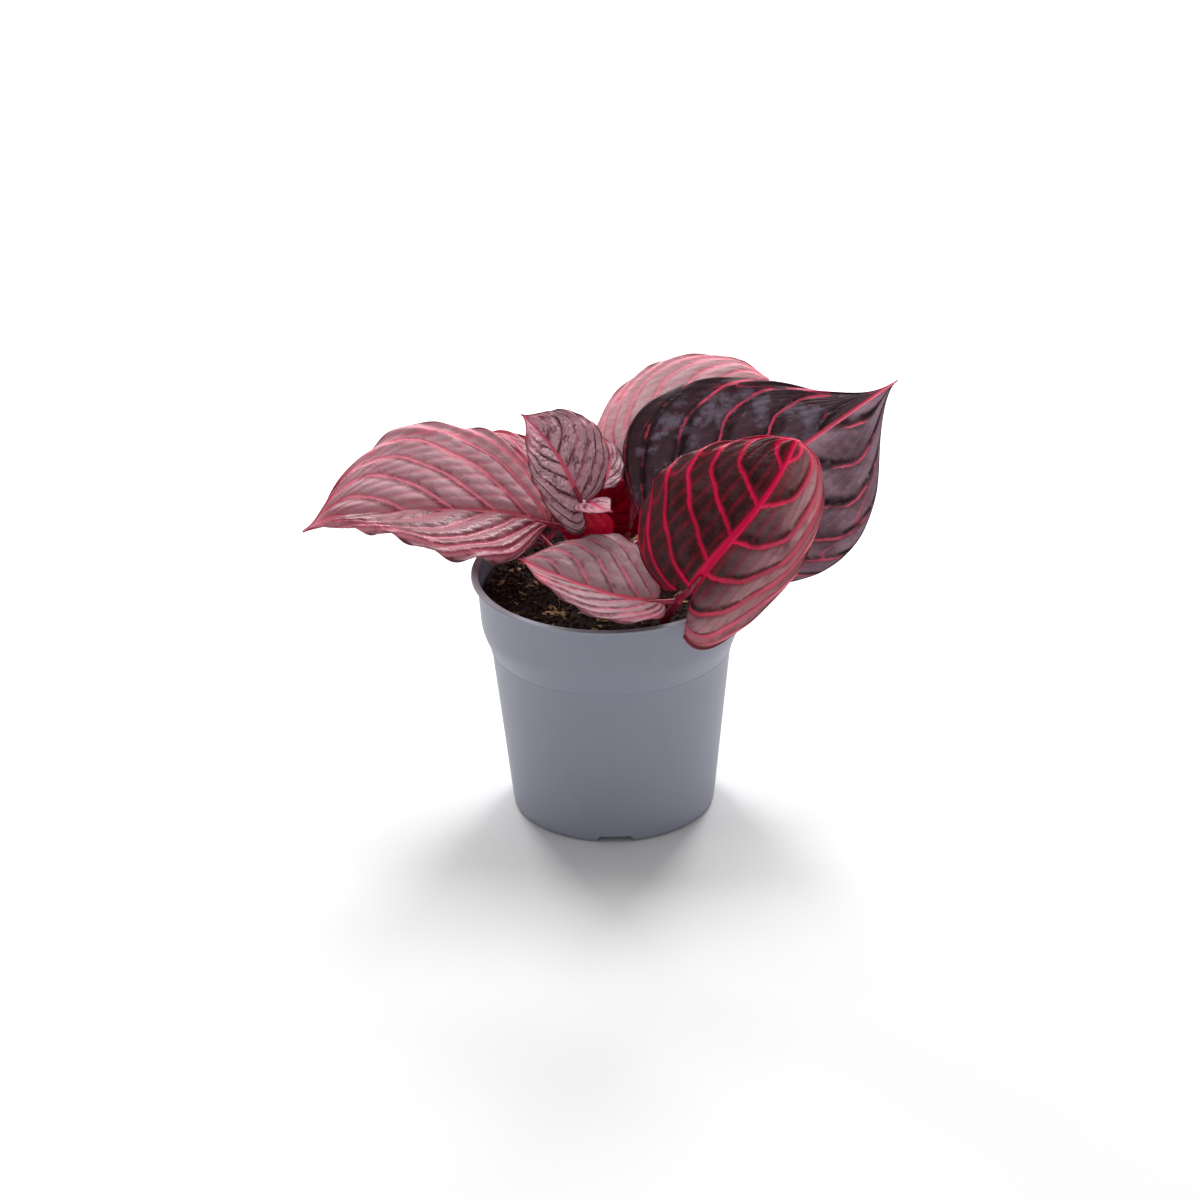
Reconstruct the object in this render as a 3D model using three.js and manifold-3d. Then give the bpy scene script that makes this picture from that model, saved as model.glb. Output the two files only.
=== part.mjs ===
// A young bloodleaf plant in a round nursery pot.
// Millimetres, +Z up. Everything is built about the pot's own axis, with z = 0 under the foot ring;
// the outer group then moves it so that the frame's origin lies under the middle of the whole plant.
import * as THREE from "three";
import { mergeVertices } from "three/addons/utils/BufferGeometryUtils.js";
import Module from "manifold-3d";

const wasm = await Module();
wasm.setup();

// ---------- driving dimensions ----------
const CENTRE_X = -3; // middle of the whole plant, measured from the pot's axis
const CENTRE_Y = 4.5;
const GAP = 0.3; // clearance kept between pieces that touch

const POT_HEIGHT = 110;
const LIP_RADIUS = 60; // outside of the lip that runs round the rim
const LIP_THICKNESS = 1.3;
const BAND_TOP_RADIUS = 57.5; // the upright band under the lip
const BAND_BOTTOM_RADIUS = 55.9;
const BAND_BOTTOM_Z = 86;
const STEP_RADIUS = 52; // the body starts here, below the curved step
const STEP_Z = 76;
const FOOT_RADIUS = 43.8;
const FOOT_ROUND = 2.4; // rounding under the body's bottom edge
const WALL = 1.1;
const BASE_RECESS = 3.5; // how far the base plate stands above the foot ring
const BASE_THICKNESS = 1.4;
const FOOT_RING_WIDTH = 3.2;
const NOTCH_COUNT = 3;
const NOTCH_TOP_WIDTH = 13;
const NOTCH_BOTTOM_WIDTH = 17.7;
const NOTCH_HEIGHT = 3.2;
const DRAIN_HOLE_RADIUS = 3.5;
const DRAIN_HOLE_CIRCLE = 27;
const DRAIN_HOLE_COUNT = 6;
const POT_SIDES = 48;

const SOIL_TOP_Z = 102; // at the wall
const SOIL_MOUND = 1.5; // the middle stands this much higher
const SOIL_SIDES = 36;

const LEAF_THICKNESS = 0.8;
const ROD_SIDES = 7;

// ---------- finishes ----------
const finish = (color, roughness) => new THREE.MeshStandardMaterial({ color, roughness, metalness: 0 });
const finishes = {
  potPlastic: () => finish(0x777b88, 0.55),
  soil: () => finish(0x2a1612, 1),
  stem: () => finish(0x8e1230, 0.5),
  paleLeaf: () => finish(0xb08088, 0.45),
  darkLeaf: () => finish(0x4a2329, 0.35),
  crimsonLeaf: () => finish(0x7a0a20, 0.45),
};

// ---------- solids ----------
// A closed mesh as a manifold solid: only its positions count, and shared corners are merged.
function solidOf(geometry) {
  const bare = geometry.clone();
  bare.deleteAttribute("normal");
  bare.deleteAttribute("uv");
  const merged = mergeVertices(bare, 1e-4);
  const vertProperties = new Float32Array(merged.attributes.position.array);
  const triVerts = new Uint32Array(merged.index.array);
  return new wasm.Manifold(new wasm.Mesh({ numProp: 3, vertProperties, triVerts }));
}

function geometryOf(solid) {
  const mesh = solid.getMesh();
  const geometry = new THREE.BufferGeometry();
  geometry.setAttribute("position", new THREE.BufferAttribute(mesh.vertProperties, 3));
  geometry.setIndex(new THREE.BufferAttribute(mesh.triVerts, 1));
  return geometry.toNonIndexed();
}

// The largest of the bodies that a cut leaves.
function mainBody(solid) {
  return solid.decompose().reduce((best, body) => (body.volume() > best.volume() ? body : best));
}

const plant = new THREE.Group();

function addPiece(name, solid, material) {
  const geometry = geometryOf(solid);
  geometry.computeVertexNormals();
  const mesh = new THREE.Mesh(geometry, material);
  mesh.name = name;
  plant.add(mesh);
}

// A round rod along a smooth line through the points; its ends are flat.
function rodAlong(points, radius, steps, sides = ROD_SIDES) {
  const path = new THREE.CatmullRomCurve3(points.map((p) => new THREE.Vector3(...p)));
  const section = new THREE.Shape();
  for (let i = 0; i < sides; i++) {
    const angle = (2 * Math.PI * i) / sides;
    section[i ? "lineTo" : "moveTo"](radius * Math.cos(angle), radius * Math.sin(angle));
  }
  section.closePath();
  return solidOf(new THREE.ExtrudeGeometry(section, { steps, extrudePath: path }));
}

// A turned solid about the pot's axis: the profile is a list of [radius, z] that closes on itself or on the axis.
function turned(profile, sides) {
  const points = profile.map(([radius, z]) => new THREE.Vector2(radius, z));
  return solidOf(new THREE.LatheGeometry(points, sides).rotateX(Math.PI / 2));
}

// ---------- pot ----------
// Inside radius of the pot at a height, following the outside less the wall.
function innerRadius(z) {
  const slope = (STEP_RADIUS - FOOT_RADIUS) / STEP_Z;
  if (z <= STEP_Z) return FOOT_RADIUS + slope * z - WALL;
  if (z >= BAND_BOTTOM_Z) {
    const up = (z - BAND_BOTTOM_Z) / (POT_HEIGHT - LIP_THICKNESS - BAND_BOTTOM_Z);
    return BAND_BOTTOM_RADIUS + up * (BAND_TOP_RADIUS - BAND_BOTTOM_RADIUS) - WALL;
  }
  const up = (z - STEP_Z) / (BAND_BOTTOM_Z - STEP_Z);
  return STEP_RADIUS + up * (BAND_BOTTOM_RADIUS - STEP_RADIUS) - WALL;
}

function makePot() {
  const lipBottomZ = POT_HEIGHT - LIP_THICKNESS;
  const ringInner = FOOT_RADIUS - FOOT_ROUND - FOOT_RING_WIDTH;
  const stepMidZ = (STEP_Z + BAND_BOTTOM_Z) / 2;
  const floorZ = BASE_RECESS + BASE_THICKNESS;
  const profile = [
    [0, BASE_RECESS],
    [ringInner, BASE_RECESS],
    [ringInner, 0],
    [FOOT_RADIUS - FOOT_ROUND, 0],
    [FOOT_RADIUS - 0.3 * FOOT_ROUND, 0.3 * FOOT_ROUND],
    [FOOT_RADIUS + 0.1, FOOT_ROUND],
    [STEP_RADIUS, STEP_Z],
    [STEP_RADIUS + 1.1, stepMidZ - 1.5],
    [BAND_BOTTOM_RADIUS - 0.8, BAND_BOTTOM_Z - 1.5],
    [BAND_BOTTOM_RADIUS, BAND_BOTTOM_Z],
    [BAND_TOP_RADIUS, lipBottomZ],
    [LIP_RADIUS - 0.3, lipBottomZ],
    [LIP_RADIUS, lipBottomZ + 0.4],
    [LIP_RADIUS - 0.3, POT_HEIGHT],
    [innerRadius(POT_HEIGHT) + 0.2, POT_HEIGHT],
    [innerRadius(POT_HEIGHT - 1), POT_HEIGHT - 1],
    [innerRadius(BAND_BOTTOM_Z), BAND_BOTTOM_Z],
    [innerRadius(STEP_Z), STEP_Z],
    [innerRadius(floorZ), floorZ],
    [0, floorZ],
  ];
  let pot = turned(profile, POT_SIDES);

  const notchShape = new THREE.Shape();
  notchShape.moveTo(-NOTCH_BOTTOM_WIDTH / 2, -1);
  notchShape.lineTo(NOTCH_BOTTOM_WIDTH / 2, -1);
  notchShape.lineTo(NOTCH_BOTTOM_WIDTH / 2, 0);
  notchShape.lineTo(NOTCH_TOP_WIDTH / 2, NOTCH_HEIGHT);
  notchShape.lineTo(-NOTCH_TOP_WIDTH / 2, NOTCH_HEIGHT);
  notchShape.lineTo(-NOTCH_BOTTOM_WIDTH / 2, 0);
  notchShape.closePath();
  const notchReach = 20;
  const notchFrontY = -FOOT_RADIUS - 5;
  for (let i = 0; i < NOTCH_COUNT; i++) {
    const notch = new THREE.ExtrudeGeometry(notchShape, { depth: notchReach, bevelEnabled: false });
    notch.rotateX(Math.PI / 2);
    notch.translate(0, notchFrontY + notchReach, 0);
    notch.rotateZ((2 * Math.PI * i) / NOTCH_COUNT);
    pot = pot.subtract(solidOf(notch));
  }
  for (let i = 0; i < DRAIN_HOLE_COUNT; i++) {
    const hole = new THREE.CylinderGeometry(DRAIN_HOLE_RADIUS, DRAIN_HOLE_RADIUS, 4 * BASE_THICKNESS, 12);
    hole.rotateX(Math.PI / 2);
    hole.translate(DRAIN_HOLE_CIRCLE, 0, BASE_RECESS + BASE_THICKNESS / 2);
    hole.rotateZ((2 * Math.PI * (i + 0.5)) / DRAIN_HOLE_COUNT);
    pot = pot.subtract(solidOf(hole));
  }
  return pot;
}

addPiece("pot", makePot(), finishes.potPlastic());

// ---------- stems ----------
// Each stem rises from the potting soil through hand-placed points.
const STEM_STEPS = 7;
const stems = {
  stem_left: { radius: 2.4, points: [[-15, 3, 88], [-15, 1, 112], [-13, -1, 130], [-11, -5, 145]] },
  stem_middle: { radius: 2.0, points: [[1, 4, 88], [3, 5, 106], [8, 7, 124], [12, 11, 138]] },
  stem_front: { radius: 1.9, points: [[20, -30, 88], [23, -36, 104], [28, -43, 115], [30, -46, 121]] },
};
const stemSolids = {};
const stemClearances = {};
for (const [name, { radius, points }] of Object.entries(stems)) {
  stemSolids[name] = rodAlong(points, radius, STEM_STEPS);
  stemClearances[name] = rodAlong(points, radius + GAP, STEM_STEPS);
  addPiece(name, stemSolids[name], finishes.stem());
}

// ---------- soil ----------
function makeSoil() {
  const floorZ = BASE_RECESS + BASE_THICKNESS + GAP;
  const profile = [[0, floorZ]];
  for (const z of [floorZ, STEP_Z, BAND_BOTTOM_Z, SOIL_TOP_Z]) profile.push([innerRadius(z) - 2 * GAP, z]);
  profile.push([innerRadius(SOIL_TOP_Z) * 0.6, SOIL_TOP_Z + 0.8 * SOIL_MOUND]);
  profile.push([0, SOIL_TOP_Z + SOIL_MOUND]);
  let soil = turned(profile, SOIL_SIDES);
  for (const clearance of Object.values(stemClearances)) soil = soil.subtract(clearance);
  return soil;
}

addPiece("soil", makeSoil(), finishes.soil());

// ---------- leaves ----------
// A leaf is a sheet hung on its midrib, a Bezier line from the blade's base to its tip. "face" gives the
// upper side's direction at base and tip. The two halves are named left and right as seen from above with
// the tip ahead: "half" is their greatest width, "shape" the two powers of their outline, "fold" how far
// they rise from the midrib in degrees at base and tip, "curl" the further turn from midrib to margin, and
// "lobe" how far they reach back past the base. "drip" is the length of the tapered tip as a share of the
// blade, and "wave" the margin's waves: how many, and how high. "petiole" is the leaf stalk's route from
// the stem to the blade's base, of "stalk" radius.
const leaves = {
  leaf_left_big: {
    rib: [[-25, 1, 132], [-45, 0, 142], [-96, -5, 146], [-133, -4, 133]],
    face: [[0, -0.4, 0.9], [0, -0.3, 0.9]],
    half: [50, 42], shape: [[1.2, 1.3], [0.85, 0.8]], fold: [[10, 48], [28, 20]], curl: [-8, -10],
    lobe: [2, 8], drip: 0.15, wave: [3.5, 1.6],
    petiole: [[-14, 1, 120], [-18, 2, 128], [-24, 1, 131.5]], stalk: 1.7, finish: "paleLeaf", grid: [11, 3],
  },
  leaf_left_back: {
    rib: [[-23, 16, 128], [-34, 29, 140], [-51, 40, 154], [-64, 49, 149]],
    face: [[0, -0.5, 0.8], [0, -0.4, 0.9]],
    half: [20, 18], shape: [[0.5, 0.9], [0.5, 0.9]], fold: [[15, 15], [10, 10]], curl: [-10, -15],
    lobe: [0, 0], drip: 0.1, wave: [3, 1.5],
    petiole: [[-15, 2, 113], [-18, 8, 121], [-22.5, 15.5, 127.5]], stalk: 1.3, finish: "paleLeaf", grid: [9, 3],
  },
  leaf_top_puckered: {
    rib: [[-12, -9, 148], [-19, -8, 166], [-24, -4, 174], [-37, 5, 183]],
    face: [[0.1, -0.7, 0.7], [0, -0.6, 0.8]],
    half: [17, 21], shape: [[0.5, 1.0], [0.55, 0.75]], fold: [[8, 20], [14, 20]], curl: [5, -10],
    lobe: [42, 12], drip: 0.12, wave: [4, 1.2],
    petiole: [[-11.5, -4.5, 143], [-12, -8, 146], [-12, -9, 148.5]], stalk: 1.2, finish: "paleLeaf", grid: [10, 3],
  },
  leaf_top_front: {
    rib: [[-9, -12, 149], [-7, -19, 152], [-4, -24, 150], [2, -27, 151]],
    face: [[-0.1, -0.2, 1], [0.1, 0, 1]],
    half: [8, 9], shape: [[0.6, 1.1], [0.6, 1.1]], fold: [[5, 5], [5, 5]], curl: [-10, -10],
    lobe: [0, 0], drip: 0.1, wave: [0, 0],
    petiole: [[-11, -5, 142.5], [-9.5, -9, 145], [-9, -12.5, 149]], stalk: 1.1, finish: "paleLeaf", grid: [8, 3],
  },
  leaf_top_back: {
    rib: [[-3, 7, 146], [-1, 12, 150], [4, 14, 155], [-2, 24, 163]],
    face: [[0.1, -0.8, 0.5], [0, -0.7, 0.7]],
    half: [6, 7], shape: [[0.5, 0.8], [0.5, 0.8]], fold: [[10, 10], [10, 10]], curl: [0, 0],
    lobe: [0, 0], drip: 0.1, wave: [4, 1],
    petiole: [[-11.5, -3.5, 141], [-8, 1, 143], [-3, 7, 146.5]], stalk: 1.1, finish: "darkLeaf", grid: [8, 3],
  },
  leaf_centre_left: {
    rib: [[-10, 8, 138], [-12, -1, 136], [-15, -10, 134], [-21, -11, 135]],
    face: [[0, -0.6, 0.8], [0, -0.7, 0.7]],
    half: [16, 13], shape: [[0.5, 0.8], [0.5, 0.8]], fold: [[5, 5], [5, 5]], curl: [-20, -20],
    lobe: [0, 0], drip: 0.1, wave: [0, 0],
    petiole: [[-14, 0, 125], [-10, 6, 130], [-10, 8, 138]], stalk: 1.1, finish: "crimsonLeaf", grid: [8, 3],
  },
  leaf_centre_right: {
    rib: [[-4, 8, 126], [0, 9, 131], [7, 8, 139], [16, 22, 143]],
    face: [[0.2, -0.8, 0.6], [0.1, -0.8, 0.6]],
    half: [20, 13], shape: [[0.4, 0.8], [0.5, 0.8]], fold: [[5, 5], [5, 5]], curl: [-20, -20],
    lobe: [0, 0], drip: 0.1, wave: [0, 0],
    petiole: [[-15, 1, 116], [-9, 5, 120], [-4, 8, 126]], stalk: 1.2, finish: "crimsonLeaf", grid: [8, 3],
  },
  leaf_right_back: {
    rib: [[7, 36, 136], [11, 48, 155], [36, 60, 170], [73, 66, 169]],
    face: [[-0.2, -0.7, 0.7], [-0.1, -0.6, 0.8]],
    half: [25, 28], shape: [[0.55, 0.65], [0.5, 0.8]], fold: [[5, 5], [5, 5]], curl: [-15, -15],
    lobe: [0, 0], drip: 0.05, wave: [2, 1],
    petiole: [[10, 9, 131], [9, 22, 134], [7, 36, 137]], stalk: 1.5, finish: "paleLeaf", grid: [10, 3],
  },
  leaf_right_big: {
    rib: [[26, -12, 117], [59, -3, 154], [83, 1, 166], [127, 27, 186.5]],
    face: [[-0.1, -0.8, 0.7], [0.1, -0.7, 0.7]],
    half: [58, 50], shape: [[0.5, 1.2], [0.6, 0.62]], fold: [[4, 4], [3, 3]], curl: [-10, -15],
    lobe: [0, 0], drip: 0.2, wave: [2, 1.2],
    petiole: [[5, 6, 112], [16, -3, 114], [26, -12, 117.5]], stalk: 1.8, finish: "darkLeaf", grid: [12, 3],
  },
  leaf_front_round: {
    rib: [[34.5, -52, 126], [43, -56, 145.5], [68, -52, 162], [80, -25.5, 183.5]],
    face: [[-0.1, -0.8, 0.7], [-0.1, -0.7, 0.7]],
    half: [43, 31], shape: [[0.35, 0.5], [0.35, 0.55]], fold: [[5, 5], [6, 6]], curl: [-15, -25],
    lobe: [26, 60], drip: 0.03, wave: [3, 1],
    petiole: [[29.5, -45, 118.5], [31.5, -47.5, 121.5], [34.5, -52, 126.5]], stalk: 1.7,
    finish: "crimsonLeaf", grid: [12, 3],
  },
  leaf_front_low: {
    rib: [[20, -45, 117], [2, -50, 119], [-20, -40, 126], [-40, -24.5, 129]],
    face: [[0, -0.4, 0.9], [-0.1, -0.4, 0.9]],
    half: [21, 28], shape: [[0.45, 1.2], [0.55, 0.8]], fold: [[28, 28], [22, 15]], curl: [-10, -15],
    lobe: [8, 12], drip: 0.1, wave: [2, 1],
    petiole: [[28, -43, 116], [24, -44.5, 116.5], [19, -45, 117]], stalk: 1.4, finish: "paleLeaf", grid: [10, 3],
  },
  leaf_back_right: {
    rib: [[16, 16, 118], [41, 28, 135], [56, 50, 129], [72, 68, 116]],
    face: [[-0.3, -0.3, 0.9], [0.3, 0.3, 0.9]],
    half: [22, 22], shape: [[0.5, 0.8], [0.5, 0.8]], fold: [[12, 12], [12, 12]], curl: [-15, -15],
    lobe: [3, 3], drip: 0.1, wave: [3, 1.5],
    petiole: [[5, 6, 115], [10, 11, 116], [16.5, 16.5, 118.5]], stalk: 1.5, finish: "darkLeaf", grid: [10, 3],
  },
  leaf_back_left: {
    rib: [[-26, 10, 118], [-46, 25, 135], [-58, 38, 130], [-78, 58, 116]],
    face: [[0.3, -0.3, 0.9], [-0.3, 0.3, 0.9]],
    half: [22, 22], shape: [[0.5, 0.8], [0.5, 0.8]], fold: [[12, 12], [12, 12]], curl: [-15, -15],
    lobe: [3, 3], drip: 0.1, wave: [3, 1.5],
    petiole: [[-15, 2, 109], [-20, 5, 113], [-26.5, 10.5, 118.5]], stalk: 1.5, finish: "darkLeaf", grid: [10, 3],
  },
  leaf_back_middle: {
    rib: [[-13, 17, 145], [-13, 34, 160], [-14, 50, 156], [-15, 70, 138]],
    face: [[0, -0.4, 0.9], [0, 0.4, 0.9]],
    half: [9, 9], shape: [[0.7, 0.8], [0.7, 0.8]], fold: [[12, 12], [12, 12]], curl: [-15, -15],
    lobe: [0, 0], drip: 0.1, wave: [3, 1.5],
    petiole: [[-11.5, -4, 143.5], [-12.5, 6, 143], [-13, 17, 145.8]], stalk: 1.2, finish: "darkLeaf", grid: [9, 3],
  },
};

const RIB_START = 0.02; // the blade starts and ends a little inside its midrib, so that it has corners there
const RIB_END = 0.985;
const BASE_TUCK = 0.03; // share of the midrib over which the margins draw in to the leaf stalk
const LOBE_FADE = 8; // power by which a basal lobe's backward reach fades along the midrib
const WAVE_LAG = 1.3; // the right margin's waves run this far behind the left one's, in radians

// Half-width at a share s of the midrib, as a share of the greatest: s^p (1-s)^q over its own peak,
// narrowed towards the drip tip.
function outline(s, [p, q], drip) {
  const peakAt = p / (p + q);
  const peak = peakAt ** p * (1 - peakAt) ** q;
  const taper = 1 - Math.exp(-(((1 - s) / drip) ** 1.5));
  return (s ** p * (1 - s) ** q * taper) / peak;
}

// Distance out and up that a strip of unit width reaches at t, when it starts at the fold and turns by curl.
function arcReach(fold, curl, t) {
  if (Math.abs(curl) < 1e-4) return [t * Math.cos(fold), t * Math.sin(fold)];
  return [
    (Math.sin(fold + curl * t) - Math.sin(fold)) / curl,
    (Math.cos(fold) - Math.cos(fold + curl * t)) / curl,
  ];
}

// Rows of points from left margin to right margin, from base to tip, on the middle of the leaf's thickness,
// with the direction its upper side faces at each row.
function bladeRows(leaf) {
  const rib = new THREE.CubicBezierCurve3(...leaf.rib.map((p) => new THREE.Vector3(...p)));
  const faces = leaf.face.map((f) => new THREE.Vector3(...f).normalize());
  const [rowCount, halfCount] = leaf.grid;
  const rows = [];
  for (let i = 0; i < rowCount; i++) {
    const s = RIB_START + ((RIB_END - RIB_START) * i) / (rowCount - 1);
    const middle = rib.getPoint(s);
    const ahead = rib.getTangent(s);
    const up = faces[0].clone().lerp(faces[1], s).projectOnPlane(ahead).normalize();
    const across = ahead.clone().cross(up);
    const points = [];
    for (let j = -halfCount; j <= halfCount; j++) {
      const side = j < 0 ? 0 : 1;
      const t = Math.abs(j) / halfCount;
      const full = outline(s, leaf.shape[side], leaf.drip);
      const width = full * (1 - Math.exp(-s / BASE_TUCK));
      const [foldBase, foldTip] = leaf.fold[side].map(THREE.MathUtils.degToRad);
      const fold = foldBase + (foldTip - foldBase) * s;
      const [out, rise] = arcReach(fold, THREE.MathUtils.degToRad(leaf.curl[side]), t);
      const [waves, height] = leaf.wave;
      const ripple = height * Math.sin(2 * Math.PI * waves * s + WAVE_LAG * side) * t ** 3 * Math.sqrt(width);
      const back = leaf.lobe[side] * t * full * (1 - s) ** LOBE_FADE;
      points.push(
        middle
          .clone()
          .addScaledVector(across, Math.sign(j) * leaf.half[side] * width * out)
          .addScaledVector(up, leaf.half[side] * width * rise + ripple)
          .addScaledVector(ahead, -back),
      );
    }
    rows.push({ points, up });
  }
  return rows;
}

// The rows thickened into one closed slab.
function bladeSolid(leaf) {
  const rows = bladeRows(leaf);
  const columns = rows[0].points.length;
  const positions = [];
  for (const offset of [LEAF_THICKNESS / 2, -LEAF_THICKNESS / 2]) {
    for (const { points, up } of rows) {
      for (const point of points) positions.push(...point.clone().addScaledVector(up, offset).toArray());
    }
  }
  const layer = rows.length * columns;
  const at = (i, j, under) => under * layer + i * columns + j;
  const index = [];
  const quad = (a, b, c, d) => index.push(a, b, c, a, c, d);
  for (let i = 0; i < rows.length - 1; i++) {
    for (let j = 0; j < columns - 1; j++) {
      quad(at(i, j, 0), at(i, j + 1, 0), at(i + 1, j + 1, 0), at(i + 1, j, 0));
      quad(at(i, j, 1), at(i + 1, j, 1), at(i + 1, j + 1, 1), at(i, j + 1, 1));
    }
    quad(at(i, 0, 1), at(i, 0, 0), at(i + 1, 0, 0), at(i + 1, 0, 1));
    quad(at(i, columns - 1, 0), at(i, columns - 1, 1), at(i + 1, columns - 1, 1), at(i + 1, columns - 1, 0));
  }
  const last = rows.length - 1;
  for (let j = 0; j < columns - 1; j++) {
    quad(at(0, j, 0), at(0, j, 1), at(0, j + 1, 1), at(0, j + 1, 0));
    quad(at(last, j, 1), at(last, j, 0), at(last, j + 1, 0), at(last, j + 1, 1));
  }
  const geometry = new THREE.BufferGeometry();
  geometry.setAttribute("position", new THREE.Float32BufferAttribute(positions, 3));
  geometry.setIndex(index);
  return solidOf(geometry);
}

const PETIOLE_STEPS = 4;
const PETIOLE_OVERLAP = 0.12; // share of the midrib that the stalk runs on under the blade

for (const [name, leaf] of Object.entries(leaves)) {
  const rib = new THREE.CubicBezierCurve3(...leaf.rib.map((p) => new THREE.Vector3(...p)));
  const route = [...leaf.petiole, rib.getPoint(PETIOLE_OVERLAP).toArray()];
  let solid = bladeSolid(leaf).add(rodAlong(route, leaf.stalk, PETIOLE_STEPS));
  for (const clearance of Object.values(stemClearances)) solid = solid.subtract(clearance);
  addPiece(name, mainBody(solid), finishes[leaf.finish]());
}

// ---------- frame ----------
const root = new THREE.Group();
plant.position.set(-CENTRE_X, -CENTRE_Y, 0);
root.add(plant);

export default root;
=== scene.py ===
# %% [markdown]
# # A potted bloodleaf, finished in Blender
#
# A bloodleaf is grown for its leaves: thin, puckered blades whose veins are much brighter than
# the blade between them. The frame that is loaded here already holds each leaf, the stems, the soil and
# the pot at their real size and place. This lesson gives each of them its fine shape and its finish.

import math

import bmesh
import bpy
import numpy as np
from mathutils import Matrix, Vector


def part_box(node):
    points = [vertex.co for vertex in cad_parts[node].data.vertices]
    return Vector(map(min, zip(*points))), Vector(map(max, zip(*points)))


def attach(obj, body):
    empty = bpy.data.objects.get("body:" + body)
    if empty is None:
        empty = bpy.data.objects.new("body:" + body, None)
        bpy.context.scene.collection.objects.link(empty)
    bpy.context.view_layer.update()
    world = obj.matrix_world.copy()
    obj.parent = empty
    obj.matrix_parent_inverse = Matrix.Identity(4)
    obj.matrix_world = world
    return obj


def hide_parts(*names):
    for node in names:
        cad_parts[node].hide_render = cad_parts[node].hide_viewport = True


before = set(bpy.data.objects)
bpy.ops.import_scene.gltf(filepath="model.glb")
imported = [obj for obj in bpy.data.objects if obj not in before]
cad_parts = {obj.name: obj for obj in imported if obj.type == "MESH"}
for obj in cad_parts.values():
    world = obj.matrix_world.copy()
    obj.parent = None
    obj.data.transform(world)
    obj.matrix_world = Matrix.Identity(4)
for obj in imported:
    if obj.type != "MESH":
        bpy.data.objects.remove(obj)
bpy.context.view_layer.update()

# %% [markdown]
# ## Units and the pot's axis
#
# Everything on the plant was laid out in millimetres about the pot's own axis, so the lesson keeps that
# way of counting. The axis is the middle of the pot's box in the frame, and `place` turns a point in
# millimetres about the axis into a point in the frame in metres.

# %% Millimetres about the pot's axis
MM = 0.001
pot_low, pot_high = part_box("pot")
pot_axis = (pot_low + pot_high) / 2
POT_HEIGHT = (pot_high.z - pot_low.z) / MM
LIP_RADIUS = (pot_high.x - pot_low.x) / 2 / MM
SOIL_TOP = 102.0


def place(points):
    """Points in millimetres about the pot's axis, as metres in the frame."""
    shift = np.array([pot_axis.x, pot_axis.y, 0.0])
    return np.asarray(points, float) * MM + shift


print(f"pot axis at {pot_axis.x / MM:.1f}, {pot_axis.y / MM:.1f} mm, lip radius {LIP_RADIUS:.1f} mm")

# %% [markdown]
# ## The camera, the floor and the light
#
# A plant like this is shown on a white sweep under soft lights. A long lens from well above the rim
# keeps the pot's sides nearly parallel. A broad lamp hangs overhead, and two smaller ones stand behind the
# plant, so that its soft shadow spreads towards the viewer in two lobes.

# %% Camera
CAMERA_DISTANCE = 2200.0
CAMERA_ELEVATION = math.radians(26.5)
CAMERA_ROLL = math.radians(1.17)
LENS = 152.7
LOOK_AT = (-4.5, 0.0, 95.8)

target = Vector(place(LOOK_AT))
away = Vector((0.0, -math.cos(CAMERA_ELEVATION), math.sin(CAMERA_ELEVATION)))
camera = bpy.data.objects.new("camera", bpy.data.cameras.new("camera"))
camera.data.lens = LENS
camera.data.sensor_width = 36.0
camera.data.clip_end = 20.0
camera.location = target + away * CAMERA_DISTANCE * MM
camera.rotation_mode = "QUATERNION"
level_view = (-away).to_track_quat("-Z", "Y")
camera.rotation_quaternion = level_view @ Matrix.Rotation(-CAMERA_ROLL, 3, "Z").to_quaternion()
bpy.context.scene.collection.objects.link(camera)
bpy.context.scene.camera = camera
print("camera at", tuple(round(v, 2) for v in camera.location), "m")

# %% Lights
WORLD_LIGHT = 0.43
world = bpy.data.worlds.new("studio")
bpy.context.scene.world = world
world.use_nodes = True
world.node_tree.nodes["Background"].inputs["Color"].default_value = (1.0, 1.0, 1.0, 1.0)
world.node_tree.nodes["Background"].inputs["Strength"].default_value = WORLD_LIGHT
bpy.context.scene.view_settings.view_transform = "Standard"


def add_softbox(name, place_m, size_m, watts):
    """A rectangular area lamp at place_m in metres that faces the plant."""
    lamp = bpy.data.lights.new(name, "AREA")
    lamp.shape = "RECTANGLE"
    lamp.size, lamp.size_y = size_m
    lamp.energy = watts
    item = bpy.data.objects.new(name, lamp)
    item.location = Vector(place_m)
    item.rotation_euler = (target - item.location).to_track_quat("-Z", "Y").to_euler()
    bpy.context.scene.collection.objects.link(item)


softboxes = {
    # each lamp: its place and its two sides in metres, and its power in watts
    "overhead_box": ((0.0, 0.5, 1.4), (1.2, 0.9), 18.0),
    "back_left_box": ((-0.48, 1.15, 0.9), (0.4, 0.4), 10.0),
    "back_right_box": ((0.48, 1.15, 0.9), (0.4, 0.4), 10.0),
}
for name, (place_m, size_m, watts) in softboxes.items():
    add_softbox(name, place_m, size_m, watts)

# %% [markdown]
# ## Writing materials as arithmetic
#
# A material is a graph of small nodes, and long chains of Math nodes are hard to read. The `Wire` class
# lets a socket be used in ordinary Python arithmetic: `a * b + 1` adds the Math nodes that work it out.
# `Finish` holds one material, adds any other node by its type, and mixes colours with Mix nodes.

# %% Wire and Finish


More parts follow.
